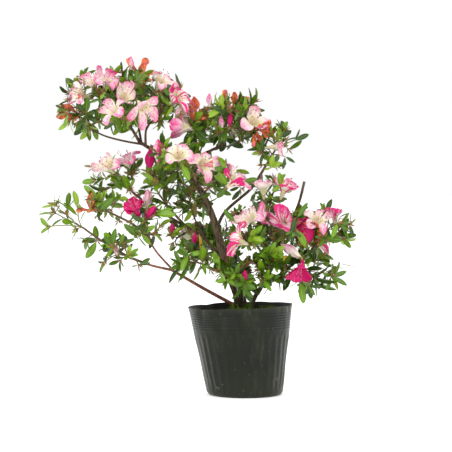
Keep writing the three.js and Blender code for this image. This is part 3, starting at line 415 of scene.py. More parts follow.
class Curve:
    """A smooth curve through points, or over three of them if it is an arc."""

    def __init__(self, points, arc=False):
        self.points = [Vector(p) for p in points]
        self.arc = arc
        self.marks = [0.0]
        last = self.at(0)
        for i in range(1, CURVE_STEPS + 1):
            here = self.at(i / CURVE_STEPS)
            self.marks.append(self.marks[-1] + (here - last).length)
            last = here
        self.length = self.marks[-1]

    def at(self, share):
        points = self.points
        if self.arc:
            rest = 1 - share
            return points[0] * (rest * rest) + points[1] * (2 * rest * share) + points[2] * (share * share)
        spans = len(points) - 1
        span = min(int(share * spans), spans - 1)
        t = share * spans - span
        b, c = points[span], points[span + 1]
        a = points[span - 1] if span else b * 2 - c
        d = points[span + 2] if span + 2 <= spans else c * 2 - b
        out, into = (c - a) * 0.5, (d - b) * 0.5
        square, cube = b * -3 + c * 3 - out * 2 - into, b * 2 - c * 2 + out + into
        return b + out * t + square * (t * t) + cube * (t * t * t)

    def heading(self, share):
        return (self.at(min(share + 1e-3, 1)) - self.at(max(share - 1e-3, 0))).normalized()

    def along(self, share):
        """The place at a share of the curve's length."""
        mark = share * self.length
        i = min(max(bisect.bisect_left(self.marks, mark), 1), CURVE_STEPS)
        run = self.marks[i] - self.marks[i - 1]
        return self.at((i - 1 + (mark - self.marks[i - 1]) / max(run, 1e-9)) / CURVE_STEPS)


def tube(heap, spots, radii, sides, finish, relief=None):
    """A capped tube over a row of spots. Its rings are carried along without twisting."""
    count = len(spots)
    heading = (spots[1] - spots[0]).normalized()
    side = heading.orthogonal().normalized()
    corners = []
    for i, (spot, radius) in enumerate(zip(spots, radii)):
        heading = (spots[min(i + 1, count - 1)] - spots[max(i - 1, 0)]).normalized()
        side = (side - heading * side.dot(heading)).normalized()
        rise = heading.cross(side)
        for corner in range(sides):
            turn = 2 * math.pi * corner / sides
            way = side * math.cos(turn) + rise * math.sin(turn)
            swell = relief(spot + way * radius) if relief else 1.0
            corners.append(spot + way * radius * swell)
    ends = [tuple(reversed(range(sides))), tuple((count - 1) * sides + i for i in range(sides))]
    heap.add(corners, woven(count, sides) + ends, finish)


def fissured(spot):
    """The relief of old bark: long ridges, and knots here and there."""
    stretched = Vector((spot.x * 0.32, spot.y * 0.32, spot.z * 0.09))
    ridge = noise.noise(stretched * 1.6) * 0.09 + noise.noise(stretched * 4.0) * 0.06
    knot = max(0.0, noise.noise(spot * 0.06) - 0.25) * 0.35
    return 1 + ridge + knot


def smooth_skinned(spot):
    return 1 + 0.06 * noise.noise(spot * 0.25)


old_bark = Finish("old_bark", "5b4a3c", 0.9, 0.25)
fissures = old_bark.grain(1.0, 6.0, (420, 420, 60), 0.7)
lichen = old_bark.grain(90.0, 4.0).between(0.58, 0.7)
bark_tint = old_bark.blend(fissures.between(0.36, 0.62), paint("33261c"), paint("7f6d55"))
aged = old_bark.blend(lichen * 0.5, bark_tint, paint("8d8b76"))
dark_foot = 1 - old_bark.height().between(0.125, 0.2)
old_bark.wear(Base_Color=old_bark.blend(dark_foot * 0.85, aged, paint("1c140f")), relief=(fissures, 0.002))
thin_bark = Finish("thin_brown_bark", "4e3a2e", 0.8, 0.3)
red_bark = Finish("red_brown_bark", "7a4632", 0.6, 0.4)
for bark, stretch, high, dark, light, depth in (
        (thin_bark, (500, 500, 120), 0.65, "35261b", "6e5742", 0.0008),
        (red_bark, (400, 400, 100), 0.7, "5c3022", "9a6248", 0.0006)):
    lines = bark.grain(1.0, 4.0, stretch, 0.6)
    bark.wear(Base_Color=bark.blend(lines.between(0.35, high), paint(dark), paint(light)), relief=(lines, depth))
pale_cut = Finish("pale_cut_wood", "b59a78", 0.8, 0.3)


def limb_radius(limb, share):
    return mixed(limb["thick"], limb["thin"], share) + limb["flare"] * math.exp(-FLARE_FADE * share)


limbs = {}
for name, (start, points, thick, thin, flare) in LIMBS.items():
    if start[0] in limbs:
        start = limbs[start[0]]["curve"].at(start[1])
    curve = Curve([start, *points])
    limb = {"curve": curve, "thick": thick, "thin": thin, "flare": flare}
    marks = max(6, round(curve.length / CHAIN_STEP))
    limb["chain"] = [(curve.along(i / marks), limb_radius(limb, i / marks)) for i in range(marks + 1)]
    limbs[name] = limb

trunk_bark = Heap("trunk_bark", [old_bark, thin_bark])
bough_bark = Heap("bough_bark", [thin_bark, red_bark, pale_cut])
for name, limb in limbs.items():
    steps = round(limb["curve"].length / (TRUNK_STEP if name == "trunk" else LIMB_STEP))
    shares = [i / steps for i in range(steps + 1)]
    spots = [limb["curve"].along(share) for share in shares]
    radii = [limb_radius(limb, share) for share in shares]
    if name == "trunk":
        tube(trunk_bark, spots, radii, 28, old_bark, fissured)
    elif name == "second_stem":
        tube(trunk_bark, spots, radii, 16, thin_bark, fissured)
    else:
        tube(bough_bark, spots, radii, 12, red_bark if name in RED_BOUGHS else thin_bark, smooth_skinned)
stub = limbs["pruned_stub"]["curve"]
cut_end = stub.along(1.0) + stub.heading(1.0) * 0.2
tube(bough_bark, [cut_end, cut_end + stub.heading(1.0) * 0.15], [1.75, 1.6], 12, pale_cut)
trunk_bark.piece("bark", ["trunk", "second_stem"])
bough_bark.piece("bark", [name for name in limbs if name not in ("trunk", "second_stem")])


# The twigs are thin and much forked, brown in the older wood and green in the young. Each mass of
# foliage keeps to its own space round a stem. Its shoots go to the blooms, then to the named tips,
# then evenly through the space, each from the fork with the shortest and straightest run.
STEM_RADIUS = (2.0, 1.5)
STEM_TAPER = 0.6
STEM_SHARE = 0.86  # of the way from the limb to the heart
STEM_FOLLOWS = 0.35  # how far a stem sets off along its limb, and not straight for the heart
STEM_MARKS = 6
SHOOT_SHARE = 0.48  # of the radius at the fork
FINE_SHARE = 0.6
SHOOT_TIP = 0.5
SHORTEST_SHOOT = 9
LONG_SHOOT = 42
SHOOT_CHECKS = (0.35, 0.6, 0.8, 1)  # shares of a shoot that have to lie in its space
FORK_SHARES = (0.4, 0.5, 0.6, 0.7, 0.8, 0.9, 1)
SECOND_ORDER = 1.3  # what a run from a shoot's fork costs, beside one from the stem
SECOND_FORK = 0.6
TWIG_STEP = 5
FENCE_GAP = 0.3
OVERHANG = 1.22  # how far shoots and leaves may pass a space's reach
LEAF_REACH = 31  # of the leaves at a shoot's end
LEAF_ROOM = 0.6  # share of that reach which a shoot leaves free before its aim
FINE_LEAF_ROOM = 0.45
EVEN_LIFTS = (1, -0.6)
FINE_LIFTS = (0.95, -0.95)
AIM_SHARES = (0.62, 1)
GOLDEN_ANGLE = 2.399963
SPREAD_A = 0.754878
SPREAD_B = 0.56984
BLOOM_RADIUS = 25
BLOOM_DEPTH = 25
BLOOM_FOOT = 3
BLOOM_SEAT = 0.75  # share of a bloom's depth at which its place is given
BLOOM_ROLL = 0.8
BLOOM_SHAPES = {"magenta": (0.72, 1.1), "closing_pale": (0.42, 1.25),
                "closing_striped": (0.42, 1.25)}  # shares of the radius and of the depth
FURLED = {"bud": (22, 4), "withered": (20, 5.5), "furled_pale": (30, 5.5), "furled_striped": (30, 5.5),
          "furled_magenta": (30, 5.5)}  # length, radius
LOBE_CORNERS = ((-36, 0.5, 0.66), (-13, 1, 1), (13, 1, 1))  # turn, share of the radius, share of the depth
BACK_OF_CROWN = 30  # blooms further back than this face away from the front
OPENINGS = ((-83, 451, 13), (-66, 426, 9), (-98, 381, 11), (-126, 371, 7), (-219, 347, 15), (-11, 336, 12),
            (8, 339, 10), (0, 292, 9), (64, 277, 8), (134, 213, 14), (162, 243, 9), (-254, 476, 11),
            (-269, 436, 9), (28, 426, 9), (70, 397, 9), (72, 352, 9), (-70, 184, 8),
            (-20, 160, 8))  # across, height, radius
TWIG_SEED = 1795876121  # fixes the twigs' wander, which Blender otherwise seeds from the clock
# For each mass: the limb and the share of it where the stem starts, the space's heart and reach, the
# numbers of even and of fine shoots, the tips, and the blooms. For each bloom: its kind, place, turn
# and lift, then the turn and lift that show where these differ, with a narrow bloom's width.
MASS_ROWS = [
    ("left_crown_outer", "left_crown_twig", 1, (-234, -4, 430), (50, 54, 64), 3, 30,
     [(-248, 0, 472), (-258, -10, 401), (-226, -20, 384)],
     [("withered", (-252, -20, 413), -130, 20), ("white", (-240, -18, 437), -172, 12, (-150, 14)),
      ("pale", (-221, -8, 455), -115, 60)]),
    ("left_crown_middle", "left_crown_limb", 1, (-166, -18, 432), (60, 62, 64), 3, 30,
     [(-196, 0, 480), (-186, 4, 484), (-144, 5, 480), (-196, -45, 384), (-168, -92, 392)],
     [("bud", (-166, -5, 488), -90, 80), ("withered", (-150, -5, 476), -60, 50),
      ("pink", (-200, -20, 458), -60, 60), ("flecked", (-188, -64, 412), -100, 5, (-135, 34)),
      ("pale", (-174, -38, 432), -80, 10, (-60, 38)), ("flecked", (-146, -58, 416), -70, -10, (-58, -34))]),
    ("left_crown_right", "left_crown_fork", 1, (-106, 0, 428), (44, 52, 54), 4, 30,
     [(-98, -5, 404), (-120, -5, 388)],
     [("white", (-122, -12, 457), -20, 50, (-50, 50)), ("striped", (-100, -20, 432), -15, 40, (-50, 30)),
      ("pale", (-94, -4, 412), -25, 5, (-48, -12))]),
    ("left_crown_back", "left_crown_back_limb", 1, (-172, 64, 428), (62, 48, 56), 5, 30, [],
     [("white", (-199, 88, 442), 120, 30), ("flecked", (-148, 90, 434), 70, 35)]),
    ("middle_crown_left", "middle_left_limb", 1, (-72, 4, 398), (36, 46, 40), 3, 30,
     [(-84, 5, 378)], [("pink", (-89, -12, 390), 175, 10), ("withered", (-71, -5, 410), -60, 45)]),
    ("middle_crown_right", "middle_right_limb", 1, (-10, -6, 406), (62, 50, 44), 4, 30,
     [(-35, 5, 431), (14, 5, 424), (-6, -10, 364)],
     [("bud", (-52, -8, 434), -90, 80), ("withered", (-13, -4, 428), -60, 50), ("bud", (-35, -24, 400), -100, 60),
      ("bud", (-21, -20, 405), -60, 75), ("white", (12, -28, 398), -55, 38),
      ("withered", (24, -26, 382), -50, -20)]),
    ("middle_crown_back", "middle_bough", 1, (-34, 66, 396), (60, 48, 46), 5, 30, [],
     [("white", (-52, 90, 408), 110, 35), ("flecked", (-8, 90, 402), 70, 30)]),
    ("right_arm_spray", "right_arm", 1, (46, -10, 360), (44, 46, 54), 3, 12,
     [(18, -5, 356), (46, -5, 384), (68, -10, 368), (16, -12, 334)], [("closing_pale", (40, -24, 361), -20, 5)]),
    ("centre_front", "centre_limb", 1, (-100, -40, 342), (54, 52, 48), 4, 22,
     [(-122, -50, 322)],
     [("white", (-95, -68, 348), -90, 48, (-90, 32)), ("furled_striped", (-125, -46, 360), -100, 84),
      ("orange_hearted", (-60, -58, 335), -60, 5)]),
    ("centre_right", "trunk", 0.86, (-24, -33, 315), (56, 50, 42), 4, 15,
     [(-2, -40, 322), (14, -40, 306)], [("magenta_edged", (-15, -52, 312), -30, 35)]),
    ("centre_back", "trunk", 0.82, (-82, 66, 321), (66, 52, 56), 5, 30, [],
     [("white", (-109, 90, 340), 130, 25), ("striped", (-58, 92, 325), 70, 15)]),
    ("left_middle_spray", "left_middle_bough", 1, (-190, 2, 322), (56, 52, 46), 4, 16,
     [(-226, 0, 314)], [("white", (-199, -20, 333), -135, 35), ("pink", (-172, -8, 342), -150, 55)]),
    ("left_inner_spray", "left_middle_bough", 0.62, (-132, -4, 300), (42, 50, 52), 4, 12,
     [(-118, -5, 282)],
     [("furled_magenta", (-138, -14, 340), -100, -70), ("furled_pale", (-141, -22, 288), -90, 82)]),
    ("left_far_shoot", "left_low_outer_bough", 1, (-246, -32, 252), (72, 32, 62), 2, 5,
     [(-286, -36, 288), (-268, -36, 276), (-250, -38, 240), (-236, -32, 220)], []),
    ("left_far_spray", "left_low_upper_bough", 1, (-206, -32, 272), (54, 42, 38), 4, 10,
     [(-222, -34, 290)], [("withered", (-226, -40, 279), -140, 40)]),
    ("left_low_tuft", "left_low_outer_bough", 0.6, (-184, -52, 210), (44, 38, 42), 4, 7,
     [(-190, -38, 190)], [("bud", (-187, -56, 218), -120, 60)]),
    ("left_pink_tuft", "left_low_upper_bough", 0.8, (-142, -48, 257), (44, 46, 44), 3, 12,
     [(-122, -42, 238), (-142, -100, 252)],
     [("magenta", (-156, -60, 271), -100, 45, (-118, 48, 0.9)), ("furled_magenta", (-134, -54, 268), -50, 40)]),
    ("left_bud_sprig", "left_middle_bough", 0.55, (-104, -6, 226), (32, 30, 34), 2, 3,
     [(-110, -10, 214), (-92, -2, 226)], [("bud", (-106, -10, 246), -95, 75)]),
    ("low_left_front", "trunk", 0.35, (-78, -30, 199), (44, 42, 40), 4, 9,
     [(-92, -32, 186), (-66, -25, 182)], [("bud", (-73, -25, 232), -90, 80)]),
    ("inner_left", "inner_limb", 1, (-80, 14, 280), (38, 40, 42), 4, 10,
     [(-100, 5, 272)], []),
    ("low_centre", "trunk", 0.24, (-14, -46, 178), (50, 42, 42), 3, 30,
     [(-14, -55, 164), (-40, -45, 166), (-16, -98, 184)], [("bud", (-1, -62, 180), -80, 70)]),
    ("low_back", "trunk", 0.3, (-49, 64, 212), (66, 50, 56), 5, 30, [],
     [("white", (-73, 92, 229), 120, 20)]),
    ("right_upper_sprig", "right_upper_limb", 1, (42, -6, 298), (50, 46, 42), 3, 10,
     [(16, 0, 290), (72, 0, 304)],
     [("pale", (26, -12, 301), -165, 58, (-120, 78, 0.78)), ("striped", (57, -14, 300), -25, 55, (-50, 60, 0.82))]),
    ("right_centre", "second_stem", 0.92, (8, -38, 246), (46, 50, 48), 3, 30,
     [(-16, -40, 224)],
     [("flecked", (6, -58, 259), -160, 20, (-128, 38)), ("striped", (-11, -64, 227), -160, 20),
      ("furled_pale", (24, -42, 271), -90, 82)]),
    ("right_middle", "pruned_stub", 0.3, (66, -26, 247), (46, 54, 46), 3, 30,
     [(84, -8, 268), (66, -88, 238)],
     [("hot", (51, -42, 253), -100, 40), ("magenta", (78, -26, 246), -20, 20, (-62, 12))]),
    ("right_far", "right_low_outer", 1, (120, -12, 243), (50, 48, 42), 3, 30,
     [(148, -8, 244), (140, -12, 228)],
     [("flecked", (104, -28, 256), -90, 50, (-75, 42)), ("closing_striped", (130, -12, 258), -80, 78),
      ("withered", (96, -30, 236), -110, -20)]),
    ("right_low", "right_low_bough", 1, (96, -24, 182), (62, 48, 46), 3, 11,
     [(142, -22, 174), (128, -18, 196), (86, -25, 158), (108, -25, 164)],
     [("magenta", (80, -50, 186), -90, -72, (-105, -58)), ("furled_pale", (62, -40, 214), 170, 35)]),
    ("right_back", "second_stem", 0.6, (65, 62, 230), (66, 52, 56), 5, 30, [],
     [("white", (39, 90, 258), 100, 35), ("hot", (84, 92, 246), 70, 30), ("striped", (106, 80, 221), 30, 10)]),
    ("right_low_front", "right_low_bough", 0.4, (36, -46, 190), (40, 42, 38), 4, 30,
     [(22, -50, 172)], []),
]
MASS_PARTS = ("name", "on", "at", "heart", "reach", "shoots", "fine", "tips", "blooms")

masses = [dict(zip(MASS_PARTS, row)) for row in MASS_ROWS]


def square_to(heading):
    side = (Vector((0, 1, 0)) if abs(heading.z) > 0.95 else Vector((0, 0, 1))).cross(heading).normalized()
    return side, heading.cross(side)


class Space:
    """The space that a mass keeps to: an ellipsoid, cut by fences against the other masses."""

    def __init__(self, mass, stems):
        self.heart = Vector(mass["heart"])
        self.reach = Vector(mass["reach"])
        self.fences = []
        for other in masses:
            if other is mass:
                continue
            line = Vector(other["heart"]) - self.heart
            apart = line.length
            way = line / apart
            own = OVERHANG * Vector(a * b for a, b in zip(self.reach, way)).length
            theirs = OVERHANG * Vector(a * b for a, b in zip(other["reach"], way)).length
            if own + theirs >= apart:
                self.fences.append((self.heart + way * (apart * own / (own + theirs)), way))
        chains = [limb["chain"] for limb in limbs.values()]
        chains += [stem["chain"] for stem in stems if stem["mass"] is not mass]
        far = OVERHANG * max(self.reach) + 20
        self.bars = [(a, b - a, radius) for chain in chains for (a, radius), (b, _) in zip(chain, chain[1:])
                     if ((a + b) / 2 - self.heart).length < far]

    def holds(self, spot, margin):
        out = spot - self.heart
        if sum((o / r) ** 2 for o, r in zip(out, self.reach)) > OVERHANG ** 2:
            return False
        return all((spot - at).dot(way) < -FENCE_GAP - margin for at, way in self.fences)

    def clear(self, spot, margin):
        for a, line, radius in self.bars:
            share = min(max((spot - a).dot(line) / line.length_squared, 0.0), 1.0)
            if (spot - a - line * share).length < radius + margin:
                return False
        return True


def stem_of(mass):
    curve = limbs[mass["on"]]["curve"]
    first = curve.at(mass["at"])
    last = first.lerp(Vector(mass["heart"]), STEM_SHARE)
    straight = last - first
    heading = curve.heading(mass["at"]) * STEM_FOLLOWS + straight.normalized() * (1 - STEM_FOLLOWS)
    path = Curve([first, first + heading.normalized() * (straight.length * 0.45), last], arc=True)
    chain = [(path.at(i / STEM_MARKS), STEM_RADIUS[0]) for i in range(STEM_MARKS + 1)]
    return {"mass": mass, "path": path, "chain": chain}


def aim_of(space, seed, number, lifts):
    """One of a row of aims that are spread evenly through the outer part of a space."""
    lift = mixed(*lifts, (number * SPREAD_A + 0.3) % 1)
    turn = number * GOLDEN_ANGLE + seed
    out = mixed(*AIM_SHARES, (number * SPREAD_B + 0.5) % 1)
    level = math.sqrt(1 - lift * lift)
    way = (level * math.cos(turn), level * math.sin(turn), lift)
    return space.heart + Vector(w * out * r for w, r in zip(way, space.reach))


def bloom_spot(bloom, turn, radius, height):
    turn += bloom["roll"]
    return (bloom["base"] + bloom["heading"] * height + bloom["side"] * (radius * math.cos(turn))
            + bloom["rise"] * (radius * math.sin(turn)))


def rim_of(bloom):
    wide, tall = BLOOM_SHAPES.get(bloom["kind"], (1, 1))
    return [bloom_spot(bloom, math.radians(72 * lobe + turn), BLOOM_RADIUS * wide * out, BLOOM_DEPTH * tall * high)
            for lobe in range(5) for turn, out, high in LOBE_CORNERS]


def heading_of(turn, lift):
    turn, lift = math.radians(turn), math.radians(lift)
    return Vector((math.cos(lift) * math.cos(turn), math.cos(lift) * math.sin(turn), math.sin(lift)))


def blooms_of(mass, number, space):
    """The mass's blooms, each moved back from the fences that it reaches over."""
    draw = seeded(number + 1)
    kept = []
    for kind, at, turn, lift, *shown in mass["blooms"]:
        spindle = FURLED.get(kind)
        heading = heading_of(turn, lift)
        side, rise = square_to(heading)
        seat = BLOOM_SEAT * (spindle[0] if spindle else BLOOM_DEPTH)
        bloom = {"kind": kind, "base": Vector(at) - heading * seat, "heading": heading, "side": side,
                 "rise": rise, "middle": Vector(at), "roll": (draw() - 0.5) * BLOOM_ROLL}
        for _ in range(4):
            for fence, way in space.fences:
                spots = [bloom["middle"]] if spindle else [bloom["base"], *rim_of(bloom)]
                over = max((spot - fence).dot(way) for spot in spots) + FENCE_GAP
                over += spindle[0] / 2 if spindle else 0.2
                if over > 0:
                    bloom["base"] = bloom["base"] - way * over
                    bloom["middle"] = bloom["middle"] - way * over
        if spindle:
            fits = space.holds(bloom["middle"], spindle[1])
        else:
            fits = all(space.holds(spot, 0) and space.clear(spot, 1)
                       and space.clear(bloom["base"].lerp(spot, 0.7), 1) for spot in rim_of(bloom))
        if fits:
            turn, lift, *width = shown[0] if shown else (turn, lift)
            heading = heading_of(turn, lift)
            bloom["heading"], bloom["width"] = heading, width[0] if width else 1
            bloom["side"], bloom["rise"] = square_to(heading)
            if at[1] < BACK_OF_CROWN:
                bloom["base"], bloom["middle"] = Vector(at) - heading * seat, Vector(at)
            kept.append(bloom)
    return kept


def spring_for(forks, aim):
    """The fork that reaches an aim with the shortest and straightest run."""
    best, least = None, math.inf
    for fork in forks:
        line = aim - fork["at"]
        run = line.length
        if run < SHORTEST_SHOOT:
            continue
        cost = fork["weight"] * run * (1.5 - 0.5 * line.dot(fork["heading"]) / run)
        if cost < least:
            best, least = fork, cost
    return best


def shoot_path(fork, aim):
    line = aim - fork["at"]
    run = line.length
    bend = fork["at"] + fork["heading"] * (run * 0.28) + line * 0.22 + Vector((0, 0, -0.05 * run))
    return Curve([fork["at"], bend, aim], arc=True)


def in_the_open(spot):
    """Whether a place is in one of the gaps between the sprays, which are open from front to back."""
    return any(math.hypot(spot.x - across, spot.z - height) < radius for across, height, radius in OPENINGS)


def grow(mass, number, stems):
    """The mass's shoots and blooms. Fine shoots spring last, from the forks of all the others."""
    space = Space(mass, stems)
    stem = stems[number]["path"]
    forks = [{"at": stem.at(s), "heading": stem.heading(s), "weight": 1, "radius": mixed(*STEM_RADIUS, s)}
             for s in FORK_SHARES]
    forks = [fork for fork in forks if space.holds(fork["at"], STEM_RADIUS[0])]
    blooms = blooms_of(mass, number, space)
    aims = [(bloom["base"] + bloom["heading"] * BLOOM_FOOT, bloom, False) for bloom in blooms]
    aims += [(Vector(tip), None, False) for tip in mass["tips"]]
    aims += [(aim_of(space, number, i, EVEN_LIFTS), None, False) for i in range(mass["shoots"])]
    aims += [(aim_of(space, number + 2, i, FINE_LIFTS), None, True) for i in range(mass["fine"])]
    shoots = []
    for i, (aim, bloom, fine) in enumerate(aims):
        fork = spring_for(forks, aim)
        if not fork:
            continue
        if not bloom:
            run = (aim - fork["at"]).length
            back = min(LEAF_REACH * (FINE_LEAF_ROOM if fine else LEAF_ROOM), run * 0.55)
            aim = aim.lerp(fork["at"], back / run)
        path = shoot_path(fork, aim)
        spots = [path.at(share) for share in SHOOT_CHECKS]
        if not bloom and not all(space.holds(spot, 1) and space.clear(spot, 2) for spot in spots):
            continue
        if fine and in_the_open(path.at(1)):
            continue
        root = fork["radius"] * (FINE_SHARE if fine else SHOOT_SHARE)
        end = max(SHOOT_TIP, 0.95 * root)
        shoots.append({"path": path, "root": root, "end": end, "bloom": bloom, "fine": fine,
                       "seed": 1000 * (number + 1) + i, "order": fork["weight"]})
        if fork["weight"] == 1:
            bent = 0.5 if path.length > LONG_SHOOT else 1
            forks.append({"at": path.at(SECOND_FORK * bent), "weight": SECOND_ORDER, "radius": (root + end) / 2,
                          "heading": (path.at(1) - path.at(1 - bent)).normalized()})
    return {"name": mass["name"], "space": space, "stem": stem, "blooms": blooms, "shoots": shoots,
            "number": number}


brown_twig = Finish("brown_twig", "65503c", 0.75, 0.3)
green_shoot = Finish("green_shoot", "8c8a4e", 0.6, 0.4)
stems = [stem_of(mass) for mass in masses]
sprays = [grow(mass, number, stems) for number, mass in enumerate(masses)]
twigs = Heap("twigs", [brown_twig, green_shoot])
noise.seed_set(TWIG_SEED)
for spray in sprays:
    path = spray["stem"]
    steps = max(6, round(path.length / TWIG_STEP))
    spots = [path.at(i / steps) for i in range(steps + 1)]
    tube(twigs, [spot + noise.noise_vector(spot * 0.11) * 0.5 for spot in spots],
         [STEM_RADIUS[0] - STEM_TAPER * i / steps for i in range(steps + 1)], 8, brown_twig)
    for shoot in spray["shoots"]:
        path = shoot["path"]
        steps = max(4, round(path.length / TWIG_STEP))
        spots = [path.at(i / steps) for i in range(steps + 1)]
        spots = [spot + noise.noise_vector(spot * 0.16) * (0.7 * math.sin(math.pi * i / steps))
                 for i, spot in enumerate(spots)]
        radii = [mixed(shoot["root"], shoot["end"], i / steps) for i in range(steps + 1)]
        half = 0 if shoot["fine"] or shoot["order"] > 1 else steps // 2  # the first half is brown wood
        if half:
            tube(twigs, spots[:half + 1], radii[:half + 1], 6, brown_twig)
        tube(twigs, spots[half:], radii[half:], 6, green_shoot)
twigs.piece("foliage", [mass["name"] for mass in masses])


# The leaves are small, glossy and pointed, with a paler rib. They stand in whorls at the ends of
# the shoots and one by one along them, round brown bud scales. The newest are a bright green.
LEAF_LENGTHS = (16, 34)
LEAF_WIDTHS = (0.27, 0.4)  # shares of a leaf's length
LEAF_ROLL = 1.1  # how far leaves are turned about their own length, from edge to edge
LEAF_STATIONS = ((0, 0.06, 0.9), (0.1, 0.16, 0.4), (0.26, 0.66, 0.12), (0.44, 0.95, 0.09), (0.62, 1.0, 0.08),
                 (0.8, 0.8, 0.08), (0.93, 0.46, 0.08), (1.0, 0.06, 0.5))  # length, half width, share of the rib
LEAF_FOLD = 0.25
LEAF_GAP = 3.4
LEAF_STEP = 7  # along a shoot
BARE_SHARE = 0.3  # the first part of a shoot, which has dropped its leaves
LEAF_TINTS = [("deep_green_leaf", "2f4b0b"), ("green_leaf", "4b6f0e"), ("fresh_green_leaf", "6a9212"),
              ("new_green_leaf", "89a928"), ("yellow_leaf", "cba42c"), ("olive_leaf", "7d7a36")]
LEAF_RIBS = [("deep_green_rib", "507024"), ("green_rib", "6f922a"), ("fresh_green_rib", "8dae34"),
             ("new_green_rib", "a6bf58"), ("yellow_rib", "d8c060"), ("olive_rib", "989050")]
NEW_GREEN, YELLOW, OLIVE = 3, 4, 5  # places in those two lists
TINT_AGES = (0.28, 0.62, 0.93)  # a shoot's age where its green steps on to the next, newer tint
NEWER_SHARE = 0.25  # of the leaves are one tint newer than their shoot
YELLOW_SHARE = 0.006
OLIVE_SHARE = 0.3  # of the smaller leaves, which are the older ones
SMALL_LEAF = 18
YOUNG_SPRAYS = ("right_upper_sprig", "left_far_shoot")
LUSH_SPRAYS = ("right_low", "right_low_front", "low_centre", "low_left_front")
DARK_SPRAYS = LUSH_SPRAYS + ("left_low_tuft", "left_far_spray")
LUSH_GAIN = 0.22
BARE_TRUNK = (195, 312)  # heights between which no leaf hangs before the trunk
BARE_TRUNK_HALF = 8
MOUTHS = (7, 9, 11)  # the half widths kept clear before furled, closing and open blooms
SCALE_LENGTHS = (6, 12)
SCALE_HALF = 1.2
SCALES = 7


def leaf_mesh(root, along, face, length, width, curl):
    """The corners of a leaf, four at each station: edge, rib, rib and edge."""
    across = face.cross(along)
    corners = []
    for share, half, rib in LEAF_STATIONS:
        arch = -curl * length * share * share
        for side in (-1, -rib, rib, 1):
            out = side * half * width / 2
            corners.append(root + along * (share * length) + across * out + face * (arch + abs(out) * LEAF_FOLD))
    return corners


def before_a_bloom(spot, blooms):
    """Whether a place is in a bloom, or in the clear space before its mouth."""
    for bloom in blooms:
        ahead = (spot - bloom["base"]).dot(bloom["heading"])
        aside = (spot - bloom["base"] - bloom["heading"] * ahead).length
        if 0.3 * BLOOM_DEPTH < ahead < 2.4 * BLOOM_DEPTH and aside < min(ahead, BLOOM_RADIUS * 0.85):
            return True
    return False


def before_the_trunk(spot):
    """Whether a place is straight before the bare middle of the trunk."""
    low, high = BARE_TRUNK
    if spot.y >= 0 or not low < spot.z < high:
        return False
    chain = limbs["trunk"]["chain"]
    for (a, _), (b, _) in zip(chain, chain[1:]):
        if a.z <= spot.z < b.z:
            return abs(a.lerp(b, (spot.z - a.z) / (b.z - a.z)).x - spot.x) < BARE_TRUNK_HALF
    return False


def hides_a_bloom(spot):
    """Whether a place is straight outward of a bloom, which opens into the light."""
    for spray in sprays:
        for bloom in spray["blooms"]:
            wide = MOUTHS[0 if bloom["kind"] in FURLED else (1 if "closing" in bloom["kind"] else 2)]
            for share in (0.4, 0.9):
                at = bloom["base"] + bloom["heading"] * (BLOOM_DEPTH * share)
                outward = (spot.y - at.y) * (1 if at.y > BACK_OF_CROWN else -1)
                if outward > -4 and max(abs(spot.x - at.x), abs(spot.z - at.z)) < wide * share:
                    return True
    return False


def whorl(path, draw, fine, bloom):
    """The seats of a shoot's leaves: a whorl at its end, and single leaves down to its bare part."""
    seats = []
    count = 4 + int(3 * draw())
    for i in range(count):
        turn = (i + 0.5 * draw()) * 2 * math.pi / count
        seats.append((1.0, turn, math.radians(24 + 62 * draw()), 0.66 + 0.34 * draw() ** 0.6))
    if bloom:
        seats = [(0.86, turn, spread + 0.4, size) for _, turn, spread, size in seats[:4]]
    lone = int(path.length * (1 - BARE_SHARE) / LEAF_STEP)
    for i in range(lone):
        share = BARE_SHARE + (1 - BARE_SHARE) * (i + 0.6 * draw()) / lone
        if draw() < (0.85 if fine else 0.6):
            seats.append((min(share, 0.97), i * GOLDEN_ANGLE, math.radians(40 + 35 * draw()), 0.62 + 0.3 * draw()))
    return seats


